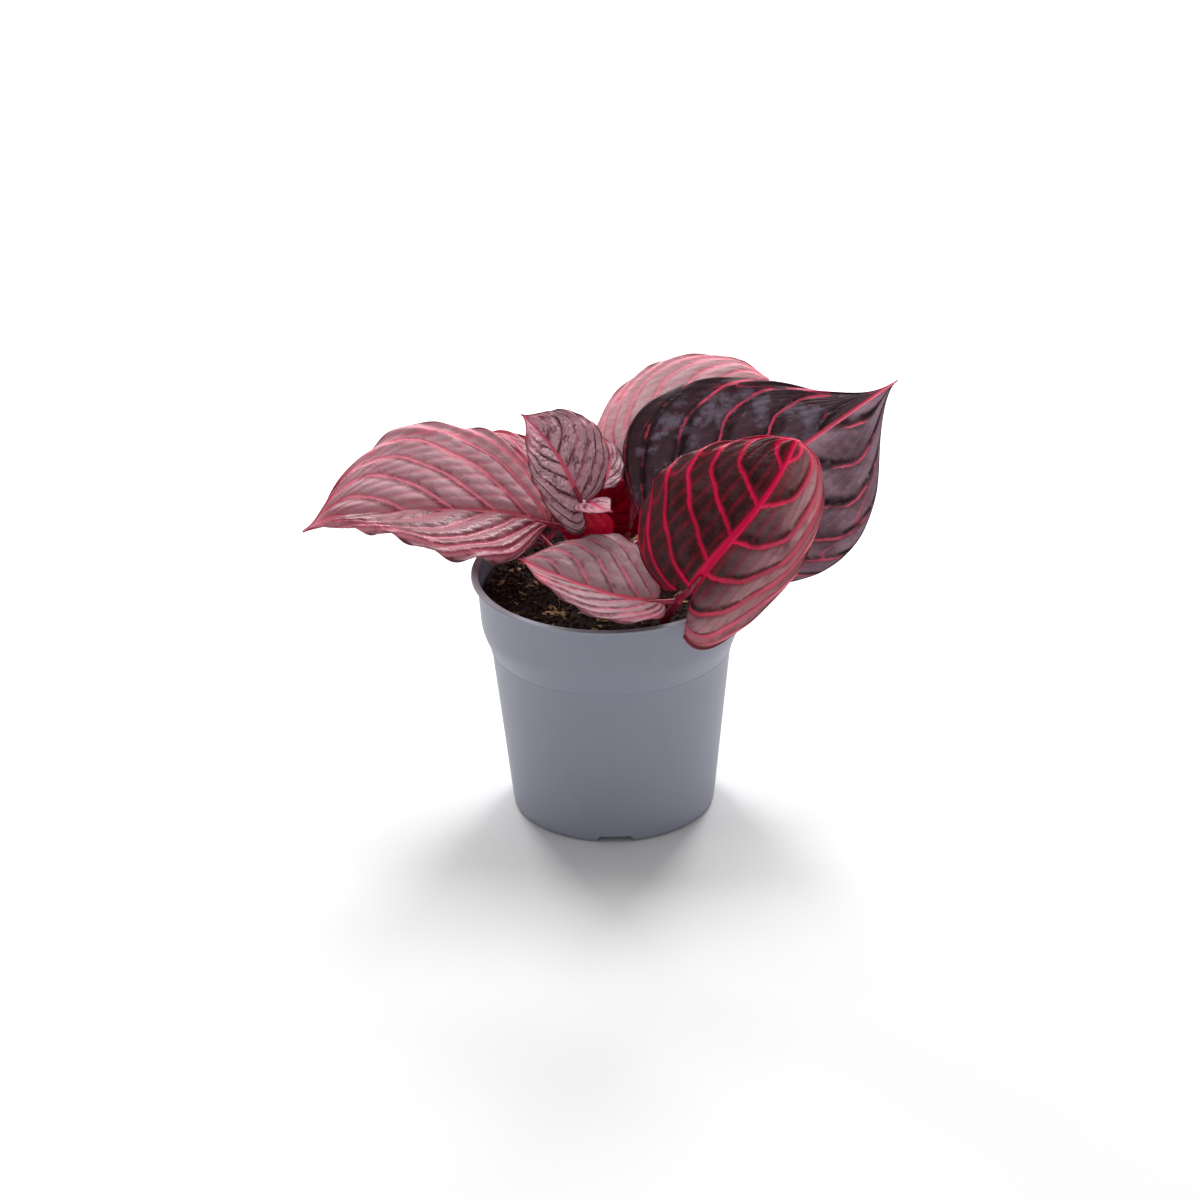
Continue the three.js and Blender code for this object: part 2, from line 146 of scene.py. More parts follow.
class Wire:
    """A node's output that can be used in arithmetic: each operation adds one Math node."""

    def __init__(self, finish, socket):
        self.finish = finish
        self.socket = socket

    def math(self, operation, *others, clamp=False):
        settings = {"operation": operation, "use_clamp": clamp}
        values = dict(enumerate((self, *others)))
        return self.finish.node("ShaderNodeMath", settings, values)

    def __add__(self, other):
        return self.math("ADD", other)

    def __sub__(self, other):
        return self.math("SUBTRACT", other)

    def __rsub__(self, other):
        return self.finish.node("ShaderNodeMath", {"operation": "SUBTRACT"}, {0: other, 1: self})

    def __mul__(self, other):
        return self.math("MULTIPLY", other)

    def __truediv__(self, other):
        return self.math("DIVIDE", other)

    __radd__ = __add__
    __rmul__ = __mul__

    def absolute(self):
        return self.math("ABSOLUTE")

    def to_nearest(self):
        """How far the value is from the nearest whole number."""
        return self.math("PINGPONG", 0.5)

    def fades(self, start, end):
        """1 below start and 0 above end, with a smooth change between."""
        settings = {"interpolation_type": "SMOOTHSTEP"}
        values = {"Value": self, "From Min": start, "From Max": end, "To Min": 1.0, "To Max": 0.0}
        return self.finish.node("ShaderNodeMapRange", settings, values)

    def rises(self, start, end):
        """0 below start and 1 above end, with a smooth change between."""
        return 1.0 - self.fades(start, end)


class Finish:
    """One material, wired in code."""

    def __init__(self, name, **constants):
        self.material = bpy.data.materials.new(name)
        self.material.use_nodes = True
        self.tree = self.material.node_tree
        self.shader = self.tree.nodes["Principled BSDF"]
        for socket, value in constants.items():
            self.shader.inputs[socket.replace("_", " ")].default_value = value

    def node(self, kind, settings=None, values=None, output=0):
        """Adds a node: its settings first, then its sockets by name or number. Returns one output."""
        made = self.tree.nodes.new(kind)
        for name, value in (settings or {}).items():
            setattr(made, name, value)
        for name, value in (values or {}).items():
            self.join(value, made.inputs[name])
        return Wire(self, made.outputs[output])

    def join(self, value, socket):
        if isinstance(value, Wire):
            self.tree.links.new(value.socket, socket)
        else:
            socket.default_value = value

    def feed(self, socket, value):
        """Sends a value that changes over the surface to one of the shader's sockets."""
        self.join(value, self.shader.inputs[socket])

    def mix(self, factor, low, high, blend="MIX"):
        """low where factor is 0 and high where it is 1; both are colours."""
        settings = {"data_type": "RGBA", "blend_type": blend, "clamp_factor": True}
        return self.node("ShaderNodeMix", settings, {0: factor, 6: low, 7: high}, output=2)

    def noise(self, scale, detail=2.0, vector=None, roughness=0.5):
        """Smooth noise, 0 to 1, in the piece's own coordinates; scale counts lumps per metre."""
        vector = vector or self.coordinates()
        values = {"Vector": vector, "Scale": scale, "Detail": detail, "Roughness": roughness}
        return self.node("ShaderNodeTexNoise", None, values)

    def coordinates(self):
        return self.node("ShaderNodeTexCoord", None, None, output="Object")

    def stretched(self, factors):
        """The piece's coordinates, scaled by a factor along each axis."""
        values = {0: self.coordinates(), 1: factors}
        return self.node("ShaderNodeVectorMath", {"operation": "MULTIPLY"}, values)

    def height_mm(self):
        return self.node("ShaderNodeSeparateXYZ", None, {"Vector": self.coordinates()}, output="Z") / MM

    def attribute(self, name):
        return self.node("ShaderNodeAttribute", {"attribute_name": name}, None, output="Fac")

    def bump(self, height, strength, distance_mm):
        values = {"Height": height, "Strength": strength, "Distance": distance_mm * MM}
        self.feed("Normal", self.node("ShaderNodeBump", None, values))


def shade(red, green, blue):
    """A display colour, 0 to 255 each, as the linear colour that a shader takes."""
    linear = []
    for value in (red, green, blue):
        share = value / 255
        linear.append(share / 12.92 if share <= 0.04045 else ((share + 0.055) / 1.055) ** 2.4)
    return (*linear, 1.0)


print("a middle grey is", [round(v, 3) for v in shade(128, 128, 128)])

# %% [markdown]
# ## The floor
#
# A wide sheet under the pot catches its soft shadow. It is matt paper with a faint mottle, in a pale
# grey that the lamps bring up to white.

# %% Floor
FLOOR_HALF = 3.0  # metres from its middle to each side
FLOOR_MOTTLE = 3.0  # lumps per metre


def make_floor():
    mesh = bpy.data.meshes.new("floor")
    corners = [(-1, -1), (1, -1), (1, 1), (-1, 1)]
    mesh.from_pydata([(x * FLOOR_HALF, y * FLOOR_HALF, 0.0) for x, y in corners], [], [(0, 1, 2, 3)])
    floor = bpy.data.objects.new("floor", mesh)
    bpy.context.scene.collection.objects.link(floor)
    finish = Finish("studio_paper", Roughness=0.9)
    mottle = finish.noise(FLOOR_MOTTLE)
    finish.feed("Base Color", finish.mix(mottle, shade(232, 232, 232), shade(235, 235, 235)))
    mesh.materials.append(finish.material)


make_floor()

# %% [markdown]
# ## Pieces and Geometry Nodes
#
# `GeometryTree` builds a Geometry Nodes tree in code, with named inputs, and `grown` runs a tree on an
# object and keeps the result as a plain mesh, because only plain meshes travel well to other programs.

# %% Helpers for pieces and trees


def add_piece(name, mesh, stands_for=()):
    """Links a finished mesh as a piece that rides with the whole plant."""
    piece = bpy.data.objects.new(name, mesh)
    bpy.context.scene.collection.objects.link(piece)
    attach(piece, "root")
    if stands_for:
        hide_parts(*stands_for)
    return piece


class GeometryTree:
    """A Geometry Nodes tree, wired in code. Inputs are added by name with their starting value."""

    KINDS = {float: "NodeSocketFloat", int: "NodeSocketInt"}

    def __init__(self, name):
        self.tree = bpy.data.node_groups.new(name, "GeometryNodeTree")
        self.tree.is_modifier = True
        self.tree.interface.new_socket("Geometry", in_out="INPUT", socket_type="NodeSocketGeometry")
        self.tree.interface.new_socket("Geometry", in_out="OUTPUT", socket_type="NodeSocketGeometry")
        self.inputs = self.tree.nodes.new("NodeGroupInput")
        self.outputs = self.tree.nodes.new("NodeGroupOutput")

    def input(self, name, value):
        kind = self.KINDS[type(value)]
        socket = self.tree.interface.new_socket(name, in_out="INPUT", socket_type=kind)
        socket.default_value = value
        return self.inputs.outputs[name]

    def geometry(self):
        return self.inputs.outputs["Geometry"]

    def node(self, kind, settings=None, values=None, output=0):
        made = self.tree.nodes.new(kind)
        for name, value in (settings or {}).items():
            setattr(made, name, value)
        for name, value in (values or {}).items():
            socket = made.inputs[name]
            if isinstance(value, bpy.types.NodeSocket):
                self.tree.links.new(value, socket)
            else:
                socket.default_value = value
        return made.outputs[output]

    def math(self, operation, *values):
        return self.node("ShaderNodeMath", {"operation": operation}, dict(enumerate(values)))

    def close(self, geometry, material):
        """Ends the tree: instances become real, and everything takes one material."""
        real = self.node("GeometryNodeRealizeInstances", None, {"Geometry": geometry})
        done = self.node("GeometryNodeSetMaterial", None, {"Geometry": real, "Material": material})
        self.tree.links.new(done, self.outputs.inputs["Geometry"])
        return self.tree


def grown(name, source, tree, **sizes):
    """The plain mesh that a tree makes from an object's mesh or curve; the object is removed."""
    seed_object = bpy.data.objects.new(name + "_source", source)
    bpy.context.scene.collection.objects.link(seed_object)
    modifier = seed_object.modifiers.new("grow", "NODES")
    modifier.node_group = tree
    for socket in tree.interface.items_tree:
        if socket.in_out == "INPUT" and socket.name.replace(" ", "_") in sizes:
            modifier[socket.identifier] = sizes[socket.name.replace(" ", "_")]
    evaluated = seed_object.evaluated_get(bpy.context.evaluated_depsgraph_get())
    mesh = bpy.data.meshes.new_from_object(evaluated)
    mesh.name = name
    bpy.data.objects.remove(seed_object)
    print(f"{name}: {len(mesh.vertices)} points, {len(mesh.polygons)} faces")
    return mesh


def smooth(mesh):
    mesh.polygons.foreach_set("use_smooth", [True] * len(mesh.polygons))
    return mesh


# %% [markdown]
# ## The pot
#
# A nursery pot is blown or injection moulded in one piece from thin polypropylene: a flat rolled lip, an
# upright band, a soft step that lets pots nest, a tapered body and a foot ring with drain notches. It is
# a body of revolution, so its shape is one profile that is carried round the axis. The profile is a list of
# corners, each with the radius of its rounding; Geometry Nodes wrap a grid round the axis along it, and
# cut the notches and the drain holes, which repeat round the axis.

# %% Pot profile
LIP_THICKNESS = 1.3
BASE_RECESS = 3.5
BASE_THICKNESS = 1.4

pot_corners = [
    # radius, height, rounding
    (0.0, BASE_RECESS, 0.0),
    (38.2, BASE_RECESS, 0.6),
    (38.2, 0.0, 0.7),
    (43.9, 0.0, 2.6),
    (51.8, 75.0, 0.3),
    (52.3, 75.5, 0.4),
    (52.2, 76.4, 0.3),
    (53.0, 78.5, 2.5),
    (55.9, 86.0, 3.4),
    (57.5, POT_HEIGHT - LIP_THICKNESS, 0.7),
    (LIP_RADIUS, POT_HEIGHT - LIP_THICKNESS, 0.55),
    (LIP_RADIUS - 0.1, POT_HEIGHT, 0.6),
    (56.9, POT_HEIGHT, 0.5),
    (56.3, POT_HEIGHT - 2.0, 0.8),
    (54.8, 86.0, 3.0),
    (50.9, 76.0, 3.0),
    (43.2, BASE_RECESS + BASE_THICKNESS, 2.0),
    (0.0, BASE_RECESS + BASE_THICKNESS, 0.0),
]
ARC_STEPS = 6
LONG_RUN = 6.0  # a straight stretch gets a point about every so many millimetres
ARC_LIMIT = 0.45  # share of the shorter side that a rounding may take up


def rounded_profile(corners):
    """The corners as a smooth line: each one is replaced by an arc that leaves both sides evenly."""
    line = [np.array(corners[0][:2])]
    for before, corner, after in zip(corners, corners[1:], corners[2:]):
        here = np.array(corner[:2])
        back = np.array(before[:2]) - here
        ahead = np.array(after[:2]) - here
        reach = min(corner[2], np.linalg.norm(back) * ARC_LIMIT, np.linalg.norm(ahead) * ARC_LIMIT)
        start = here + back / np.linalg.norm(back) * reach
        end = here + ahead / np.linalg.norm(ahead) * reach
        stretch = np.linalg.norm(start - line[-1])
        for k in range(1, int(stretch / LONG_RUN)):
            line.append(line[-1] + (start - line[-1]) / (int(stretch / LONG_RUN) - k + 1))
        for k in range(ARC_STEPS + 1):
            u = k / ARC_STEPS
            line.append((1 - u) ** 2 * start + 2 * u * (1 - u) * here + u * u * end)
    line.append(np.array(corners[-1][:2]))
    return line


pot_line = rounded_profile(pot_corners)
print("pot profile:", len(pot_line), "points")

# %% Pot turned and cut by Geometry Nodes
POT_SEGMENTS = 180
SAME_POINT = 0.001 * MM  # points closer than this are one
NOTCH_COUNT = 3
NOTCH_TOP_HALF = 6.5
NOTCH_FOOT_HALF = 8.9
NOTCH_HEIGHT = 3.2
NOTCH_FLOOR = -2.0  # the tool reaches this far below the foot, for a clean cut
NOTCH_REACH = (-48.0, -34.0)  # from in front of the foot ring to behind it
DRAIN_HOLES = 6
DRAIN_RADIUS = 3.5
DRAIN_CIRCLE = 27.0
DRILL_SIDES = 24
DRILL_DEPTH = 10.0


def chain_mesh(name, points):
    """Points in metres, joined in a row by edges."""
    mesh = bpy.data.meshes.new(name)
    edges = [(k, k + 1) for k in range(len(points) - 1)]
    mesh.from_pydata([tuple(p) for p in points], edges, [])
    return mesh


def profile_chain(name, line):
    """A profile in millimetres as a chain: the radius along X and the height along Z, in metres."""
    return chain_mesh(name, [(radius * MM, 0.0, height * MM) for radius, height in line])


def turned(tree, segments):
    """Carries the tree's profile round the pot's axis: a grid's rows take the profile's points in turn."""
    profile = tree.geometry()
    rows = tree.node("GeometryNodeAttributeDomainSize", None, {"Geometry": profile}, output="Point Count")
    columns = tree.math("ADD", segments, 1.0)
    grid = tree.node("GeometryNodeMeshGrid", None, {"Vertices X": columns, "Vertices Y": rows})
    number = tree.node("GeometryNodeInputIndex")
    row = tree.math("MODULO", number, rows)
    column = tree.math("FLOOR", tree.math("DIVIDE", number, rows))
    angle = tree.math("MULTIPLY", tree.math("DIVIDE", column, segments), 2 * math.pi)
    place_now = tree.node("GeometryNodeInputPosition")
    values = {"Geometry": profile, "Value": place_now, "Index": row}
    corner = tree.node("GeometryNodeSampleIndex", {"data_type": "FLOAT_VECTOR"}, values)
    values = {"Vector": corner, "Angle": angle}
    swung = tree.node("ShaderNodeVectorRotate", {"rotation_type": "Z_AXIS"}, values)
    moved = tree.node("GeometryNodeSetPosition", None, {"Geometry": grid, "Position": swung})
    merged = tree.node("GeometryNodeMergeByDistance", None, {"Geometry": moved, "Distance": SAME_POINT})
    at_axis = (pot_axis.x, pot_axis.y, 0.0)
    return tree.node("GeometryNodeTransform", None, {"Geometry": merged, "Translation": at_axis})


def notch_tool():
    """A trapezoid bar that cuts one drain notch through the foot ring at the front."""
    right = [(NOTCH_FOOT_HALF, NOTCH_FLOOR), (NOTCH_FOOT_HALF, 0.0), (NOTCH_TOP_HALF, NOTCH_HEIGHT)]
    left = [(-x, z) for x, z in right[::-1]]
    corners = [(x, y, z) for y in NOTCH_REACH for x, z in right + left]
    count = len(right + left)
    faces = [tuple(range(count)), tuple(reversed(range(count, 2 * count)))]
    faces += [(k, k + count, (k + 1) % count + count, (k + 1) % count) for k in range(count)]
    mesh = bpy.data.meshes.new("notch_tool")
    mesh.from_pydata([tuple(v * MM for v in corner) for corner in corners], [], faces)
    return bpy.data.objects.new("notch_tool", mesh)


def pot_tree(material):
    """Turns the profile, then cuts the notches and drain holes, which stand in circles round the axis."""
    tree = GeometryTree("moulded_pot")
    segments = tree.input("Segments", POT_SEGMENTS)
    notches = tree.input("Notches", NOTCH_COUNT)
    holes = tree.input("Drain holes", DRAIN_HOLES)
    hole_radius = tree.input("Hole radius", DRAIN_RADIUS * MM)
    hole_circle = tree.input("Hole circle", DRAIN_CIRCLE * MM)
    axis = (pot_axis.x, pot_axis.y, 0.0)

    def ring_of(count, shape, first_turn):
        """Copies of a shape, turned evenly about the pot's axis."""
        points = tree.node("GeometryNodePoints", None, {"Count": count, "Position": axis})
        number = tree.node("GeometryNodeInputIndex")
        share = tree.math("DIVIDE", number, count)
        turn = tree.math("MULTIPLY_ADD", share, 2 * math.pi, first_turn)
        rotation = tree.node("ShaderNodeCombineXYZ", None, {"Z": turn})
        values = {"Points": points, "Instance": shape, "Rotation": rotation}
        copies = tree.node("GeometryNodeInstanceOnPoints", None, values)
        return tree.node("GeometryNodeRealizeInstances", None, {"Geometry": copies})

    bar_object = notch_tool()
    bar = tree.node("GeometryNodeObjectInfo", None, {"Object": bar_object}, output="Geometry")
    values = {"Vertices": DRILL_SIDES, "Radius": hole_radius, "Depth": DRILL_DEPTH * MM}
    drill = tree.node("GeometryNodeMeshCylinder", None, values, output="Mesh")
    offset = tree.node("ShaderNodeCombineXYZ", None, {"X": hole_circle, "Z": BASE_RECESS * MM})
    drill = tree.node("GeometryNodeTransform", None, {"Geometry": drill, "Translation": offset})
    cutters = tree.node("GeometryNodeJoinGeometry")
    join = cutters.node
    tree.tree.links.new(ring_of(notches, bar, 0.0), join.inputs[0])
    tree.tree.links.new(ring_of(holes, drill, math.pi / DRAIN_HOLES), join.inputs[0])
    cut = tree.tree.nodes.new("GeometryNodeMeshBoolean")
    cut.operation = "DIFFERENCE"
    tree.tree.links.new(turned(tree, segments), cut.inputs["Mesh 1"])
    tree.tree.links.new(cutters, cut.inputs["Mesh 2"])
    return tree.close(cut.outputs["Mesh"], material), bar_object


# %% [markdown]
# ## The pot's finish
#
# The plastic is blue-grey polypropylene with a satin skin. Real ones show a faint mottle from the melt and
# fine vertical draw lines from the mould; the top of the lip is painted lighter, as a painted highlight.
# The mottle goes into the colour, the roughness and a very shallow bump.

# %% Pot finish
POT_TONES = (shade(134, 137, 153), shade(146, 149, 165))
DRAW_LINE_TONE = shade(154, 158, 172)
# painted highlight: the lighter colour along the top of the lip
LIP_HIGHLIGHT_TONE = shade(166, 166, 178)
DRAW_LINE_STRETCH = (700.0, 700.0, 12.0)
LIP_HIGHLIGHT_EDGE = (1.6, 0.2)  # the painted highlight on the lip starts and is complete this far below the top


def pot_finish():
    finish = Finish("pot_polypropylene", Roughness=0.5, Coat_Weight=0.12, Coat_Roughness=0.35)
    cloud = finish.noise(18.0, 4.0)
    fine = finish.noise(900.0, 3.0)
    draw_lines = finish.noise(1.0, 2.0, vector=finish.stretched(DRAW_LINE_STRETCH))
    height = finish.height_mm()
    # painted highlight along the top of the lip
    lip = height.rises(POT_HEIGHT - LIP_HIGHLIGHT_EDGE[0], POT_HEIGHT - LIP_HIGHLIGHT_EDGE[1])
    body = finish.mix(cloud, *POT_TONES)
    body = finish.mix(draw_lines.rises(0.35, 0.75) * 0.12, body, DRAW_LINE_TONE)
    finish.feed("Base Color", finish.mix(lip * 0.6, body, LIP_HIGHLIGHT_TONE))
    finish.feed("Roughness", 0.42 + cloud * 0.12 + fine * 0.08)
    finish.bump(fine + draw_lines * 0.3, 0.1, 0.12)
    return finish.material


pot_material = pot_finish()
moulding, notch_bar = pot_tree(pot_material)
pot_mesh = grown("pot_shell", profile_chain("pot_profile", pot_line), moulding)
bpy.data.objects.remove(notch_bar)
smooth(pot_mesh)
pot_mesh.set_sharp_from_angle(angle=math.radians(38))
add_piece("pot_shell", pot_mesh, ["pot"])

# %% [markdown]
# ## The potting soil
#
# Potting soil is dark peat with lighter fibres and flakes of bark. The plug that fills the pot is one
# closed mesh with a lumpy top. Crumbs, fibres and flakes repeat hundreds of times, so Geometry Nodes
# scatter them over the top and give each one its own size, turn and tone.

# %% Soil plug
SOIL_RADIUS = 54.8
SOIL_MOUND = 1.5
SOIL_LUMPS = 0.9  # height of the lumps in millimetres
SOIL_RINGS = 46
SOIL_SEGMENTS = 144
PLUG_WALL = ((54.6, -12.0), (50.4, -25.0), (43.0, -96.0))  # radius, and height from the soil's top


def lumps(x, y):
    """A lumpy height, about -1 to 1, made of a few crossed waves; x and y are in millimetres."""
    total = 0.0
    for number, (turns, share) in enumerate(((0.11, 1.0), (0.27, 0.5), (0.6, 0.25))):
        total += share * np.sin(turns * x + 1.7 * number) * np.cos(turns * 1.13 * y - 0.9 * number)
        total += share * 0.6 * np.sin(turns * 0.83 * (x + y) + 2.1 * number)
    return total / 1.6


def soil_height(x, y):
    share = np.hypot(x, y) / SOIL_RADIUS
    return SOIL_TOP + SOIL_MOUND * (1 - share**2) + SOIL_LUMPS * lumps(x, y)


def soil_plug():
    """The plug's closed mesh: rings from the middle of the top out to the wall, and down to the floor."""
    line = [(SOIL_RADIUS * k / SOIL_RINGS, 0.0) for k in range(SOIL_RINGS + 1)]
    line += [*PLUG_WALL, (0.0, PLUG_WALL[-1][1])]
    tree = GeometryTree("soil_turned")
    body = turned(tree, tree.input("Segments", SOIL_SEGMENTS))
    mesh = grown("soil_plug", profile_chain("soil_profile", line[::-1]), tree.close(body, peat))
    for vertex in mesh.vertices:
        x, y = (vertex.co.x - pot_axis.x) / MM, (vertex.co.y - pot_axis.y) / MM
        drop = vertex.co.z / MM
        vertex.co.z = (soil_height(x, y) if drop > -1 else SOIL_TOP + drop) * MM
    return smooth(mesh)


# %% [markdown]
# The finish of all four soil pieces is one function: the peat is nearly black-brown, moist enough for a
# dull gleam, and each scattered piece carries its own tone.

# %% Soil finishes


def earth_finish(name, dark, light, roughness, lump_scale):
    finish = Finish(name, Specular_IOR_Level=0.15)
    grain = finish.noise(lump_scale, 5.0, roughness=0.65)
    tone = finish.attribute("tone")
    colour = finish.mix(grain.rises(0.35, 0.7), dark, light)
    finish.feed("Base Color", finish.mix(tone * 0.8, colour, light))
    finish.feed("Roughness", roughness - grain * 0.2)
    finish.bump(grain, 0.7, 0.5)
    return finish.material


peat = earth_finish("peat", shade(16, 7, 5), shade(46, 26, 19), 0.95, 900.0)
crumb_peat = earth_finish("peat_crumbs", shade(16, 7, 5), shade(70, 44, 32), 0.9, 1100.0)
fibre_peat = earth_finish("peat_fibres", shade(88, 62, 42), shade(176, 146, 112), 0.8, 1500.0)
bark = earth_finish("bark_flakes", shade(92, 58, 36), shade(196, 160, 116), 0.8, 700.0)
add_piece("soil_plug", soil_plug(), ["soil"])

# %% Scattering tree
SCATTER_SEED = 3
SIZE_SEED = 11
TONE_SEED = 29
ROUGH_LUMPS = 650.0  # lumps per metre in the roughening of each piece
RANDOM = "FunctionNodeRandomValue"


def scatter_tree(name, shape_of, material, count, low, high, tilt, rough_mm):
    """Copies of a small shape on random spots of a surface, each turned, scaled and then roughened."""
    tree = GeometryTree(name)
    density = tree.input("Density", float(count))
    smallest = tree.input("Smallest", low)
    largest = tree.input("Largest", high)
    seed = tree.input("Seed", SCATTER_SEED)
    values = {"Mesh": tree.geometry(), "Density": density, "Seed": seed}
    spots = tree.node("GeometryNodeDistributePointsOnFaces", None, values)
    values = {"Min": (-tilt, -tilt, 0.0), "Max": (tilt, tilt, 2 * math.pi), "Seed": seed}
    turn = tree.node(RANDOM, {"data_type": "FLOAT_VECTOR"}, values)
    size_node = tree.tree.nodes.new(RANDOM)
    tree.tree.links.new(smallest, size_node.inputs[2])
    tree.tree.links.new(largest, size_node.inputs[3])
    size_node.inputs["Seed"].default_value = SIZE_SEED
    values = {"Points": spots, "Instance": shape_of(tree), "Rotation": turn, "Scale": size_node.outputs[1]}
    copies = tree.node("GeometryNodeInstanceOnPoints", None, values)
    tone_node = tree.tree.nodes.new(RANDOM)
    tone_node.inputs["Seed"].default_value = TONE_SEED
    store = {"data_type": "FLOAT", "domain": "INSTANCE"}
    values = {"Geometry": copies, "Name": "tone", "Value": tone_node.outputs[1]}
    toned = tree.node("GeometryNodeStoreNamedAttribute", store, values)
    real = tree.node("GeometryNodeRealizeInstances", None, {"Geometry": toned})
    noise = tree.node("ShaderNodeTexNoise", None, {"Scale": ROUGH_LUMPS, "Detail": 2.0}, output="Color")
    centred = tree.node("ShaderNodeVectorMath", {"operation": "SUBTRACT"}, {0: noise, 1: (0.5, 0.5, 0.5)})
    push = tree.node("ShaderNodeVectorMath", {"operation": "SCALE"}, {0: centred, "Scale": rough_mm * MM})
    rough = tree.node("GeometryNodeSetPosition", None, {"Geometry": real, "Offset": push})
    return tree.close(rough, material)


def lump_shape(stretch):
    """A maker of round lumps 1 mm in radius, each stretched by a factor along each axis."""

    def shape(tree):
        ball = tree.node("GeometryNodeMeshIcoSphere", None, {"Radius": 1.0 * MM, "Subdivisions": 2})
        return tree.node("GeometryNodeTransform", None, {"Geometry": ball, "Scale": stretch})

    return shape


def fibre_shape(tree):
    """A bent thread 8 mm long."""
    start, middle, end = (tuple(v * MM for v in p) for p in ((-4, 0, 0.2), (0, 2.2, 1.2), (4, 0, 0.2)))
    values = {"Start": start, "Middle": middle, "End": end, "Resolution": 8}
    thread = tree.node("GeometryNodeCurveQuadraticBezier", None, values)
    section = tree.node("GeometryNodeCurvePrimitiveCircle", None, {"Resolution": 4, "Radius": 0.13 * MM})
    values = {"Curve": thread, "Profile Curve": section, "Fill Caps": True}
    return tree.node("GeometryNodeCurveToMesh", None, values)


# %% Crumbs, fibres and flakes
CLEAR_OF_WALL = 1.5


def soil_top_sheet(name):
    """The plug's top as an open sheet, for scattering on; it is not kept."""
    rings, segments = 20, 72
    sheet = bmesh.new()
    rows = []
    for k in range(1, rings + 1):
        radius = (SOIL_RADIUS - CLEAR_OF_WALL) * k / rings
        angles = [2 * math.pi * j / segments for j in range(segments)]
        spots = [(radius * math.cos(a), radius * math.sin(a)) for a in angles]
        rows.append([sheet.verts.new(place((x, y, soil_height(x, y)))) for x, y in spots])
    for low, high in zip(rows, rows[1:]):
        for j in range(segments):
            after = (j + 1) % segments
            sheet.faces.new([low[j], high[j], high[after], low[after]])
    mesh = bpy.data.meshes.new(name)
    sheet.to_mesh(mesh)
    sheet.free()
    return mesh


scatters = [
    # name, shape, finish, number per square metre, smallest and largest size, tilt in radians, and
    # roughening in millimetres
    ("soil_crumbs", lump_shape((1.0, 0.8, 0.65)), crumb_peat, 150000, 0.45, 1.7, 3.0, 1.1),
    ("soil_fibres", fibre_shape, fibre_peat, 32000, 0.35, 1.1, 0.7, 2.4),
    ("bark_flakes", lump_shape((1.7, 0.9, 0.28)), bark, 7000, 0.8, 2.4, 0.5, 1.0),
]
for name, shape_of, material, count, low, high, tilt, rough in scatters:
    tree = scatter_tree(name + "_tree", shape_of, material, count, low, high, tilt, rough)
    add_piece(name, grown(name, soil_top_sheet(name + "_top"), tree))

# %% [markdown]
# ## Stems and leaf stalks
#
# The shoots and the leaf stalks are soft, round and juicy. Each one is a circle swept along a line, a
# little thicker at its foot and with a swollen ring at each leaf joint. One Geometry Nodes tree does that
# for all of them: it reads a plain chain of points and has the two end radii as its inputs.

# %% Stalk tree
STALK_SIDES = 16
STALK_STEP = 0.9
JOINT_SPACING = 15.0
JOINT_REACH = 2.6


def stalk_tree(material):
    tree = GeometryTree("stalk")
    foot = tree.input("Foot radius", 1.5 * MM)
    top = tree.input("Top radius", 1.0 * MM)
    swelling = tree.input("Joint swelling", 0.0)
    chain = tree.node("GeometryNodeMeshToCurve", None, {"Mesh": tree.geometry()})
    smooth_line = tree.node("GeometryNodeCurveSplineType", {"spline_type": "CATMULL_ROM"}, {"Curve": chain})
    values = {"Curve": smooth_line, "Length": STALK_STEP * MM}
    even = tree.node("GeometryNodeResampleCurve", {"mode": "LENGTH"}, values)
    share = tree.node("GeometryNodeSplineParameter", None, None, output="Factor")
    along = tree.node("GeometryNodeSplineParameter", None, None, output="Length")
    radius = tree.node("ShaderNodeMapRange", None, {"Value": share, "To Min": foot, "To Max": top})
    to_joint = tree.math("PINGPONG", along, JOINT_SPACING / 2 * MM)
    values = {"Value": to_joint, "From Max": JOINT_REACH * MM, "To Min": swelling, "To Max": 0.0}
    near_joint = tree.node("ShaderNodeMapRange", {"interpolation_type": "SMOOTHSTEP"}, values)
    swollen = tree.math("MULTIPLY", radius, tree.math("ADD", near_joint, 1.0))
    values = {"Resolution": STALK_SIDES, "Radius": 1.0}
    section = tree.node("GeometryNodeCurvePrimitiveCircle", None, values)
    values = {"Curve": even, "Profile Curve": section, "Scale": swollen, "Fill Caps": True}
    body = tree.node("GeometryNodeCurveToMesh", None, values)
    round_skin = tree.node("GeometryNodeSetShadeSmooth", None, {"Geometry": body})
    return tree.close(round_skin, material)


# %% [markdown]
# Their finish is a glassy crimson that turns brown close to the soil, with fine streaks. The streaks come
# from noise that is squeezed sideways and stretched upwards.

# %% Stem finish
STREAK_STRETCH = (1500.0, 1500.0, 160.0)
EARTHY_FOOT = 14.0  # the skin is browner over so many millimetres above the soil


def stem_finish():
    finish = Finish("stem_skin", Roughness=0.38, Coat_Weight=0.3, Coat_Roughness=0.25)
    streaks = finish.noise(1.0, 3.0, vector=finish.stretched(STREAK_STRETCH))
    clouds = finish.noise(160.0, 3.0)
    height = finish.height_mm()
    skin = finish.mix(clouds.rises(0.3, 0.7), shade(112, 8, 34), shade(168, 26, 62))
    skin = finish.mix(streaks.rises(0.45, 0.8) * 0.6, skin, shade(214, 84, 112))
    near_soil = height.fades(SOIL_TOP, SOIL_TOP + EARTHY_FOOT)
    skin = finish.mix(near_soil * 0.6, skin, shade(74, 26, 26))
    finish.feed("Base Color", skin)
    finish.feed("Roughness", 0.3 + clouds * 0.2)
    finish.bump(streaks + clouds * 0.5, 0.25, 0.2)
    return finish.material


# %% Stems
FOOT_SPREAD = 1.08
TOP_TAPER = 0.82

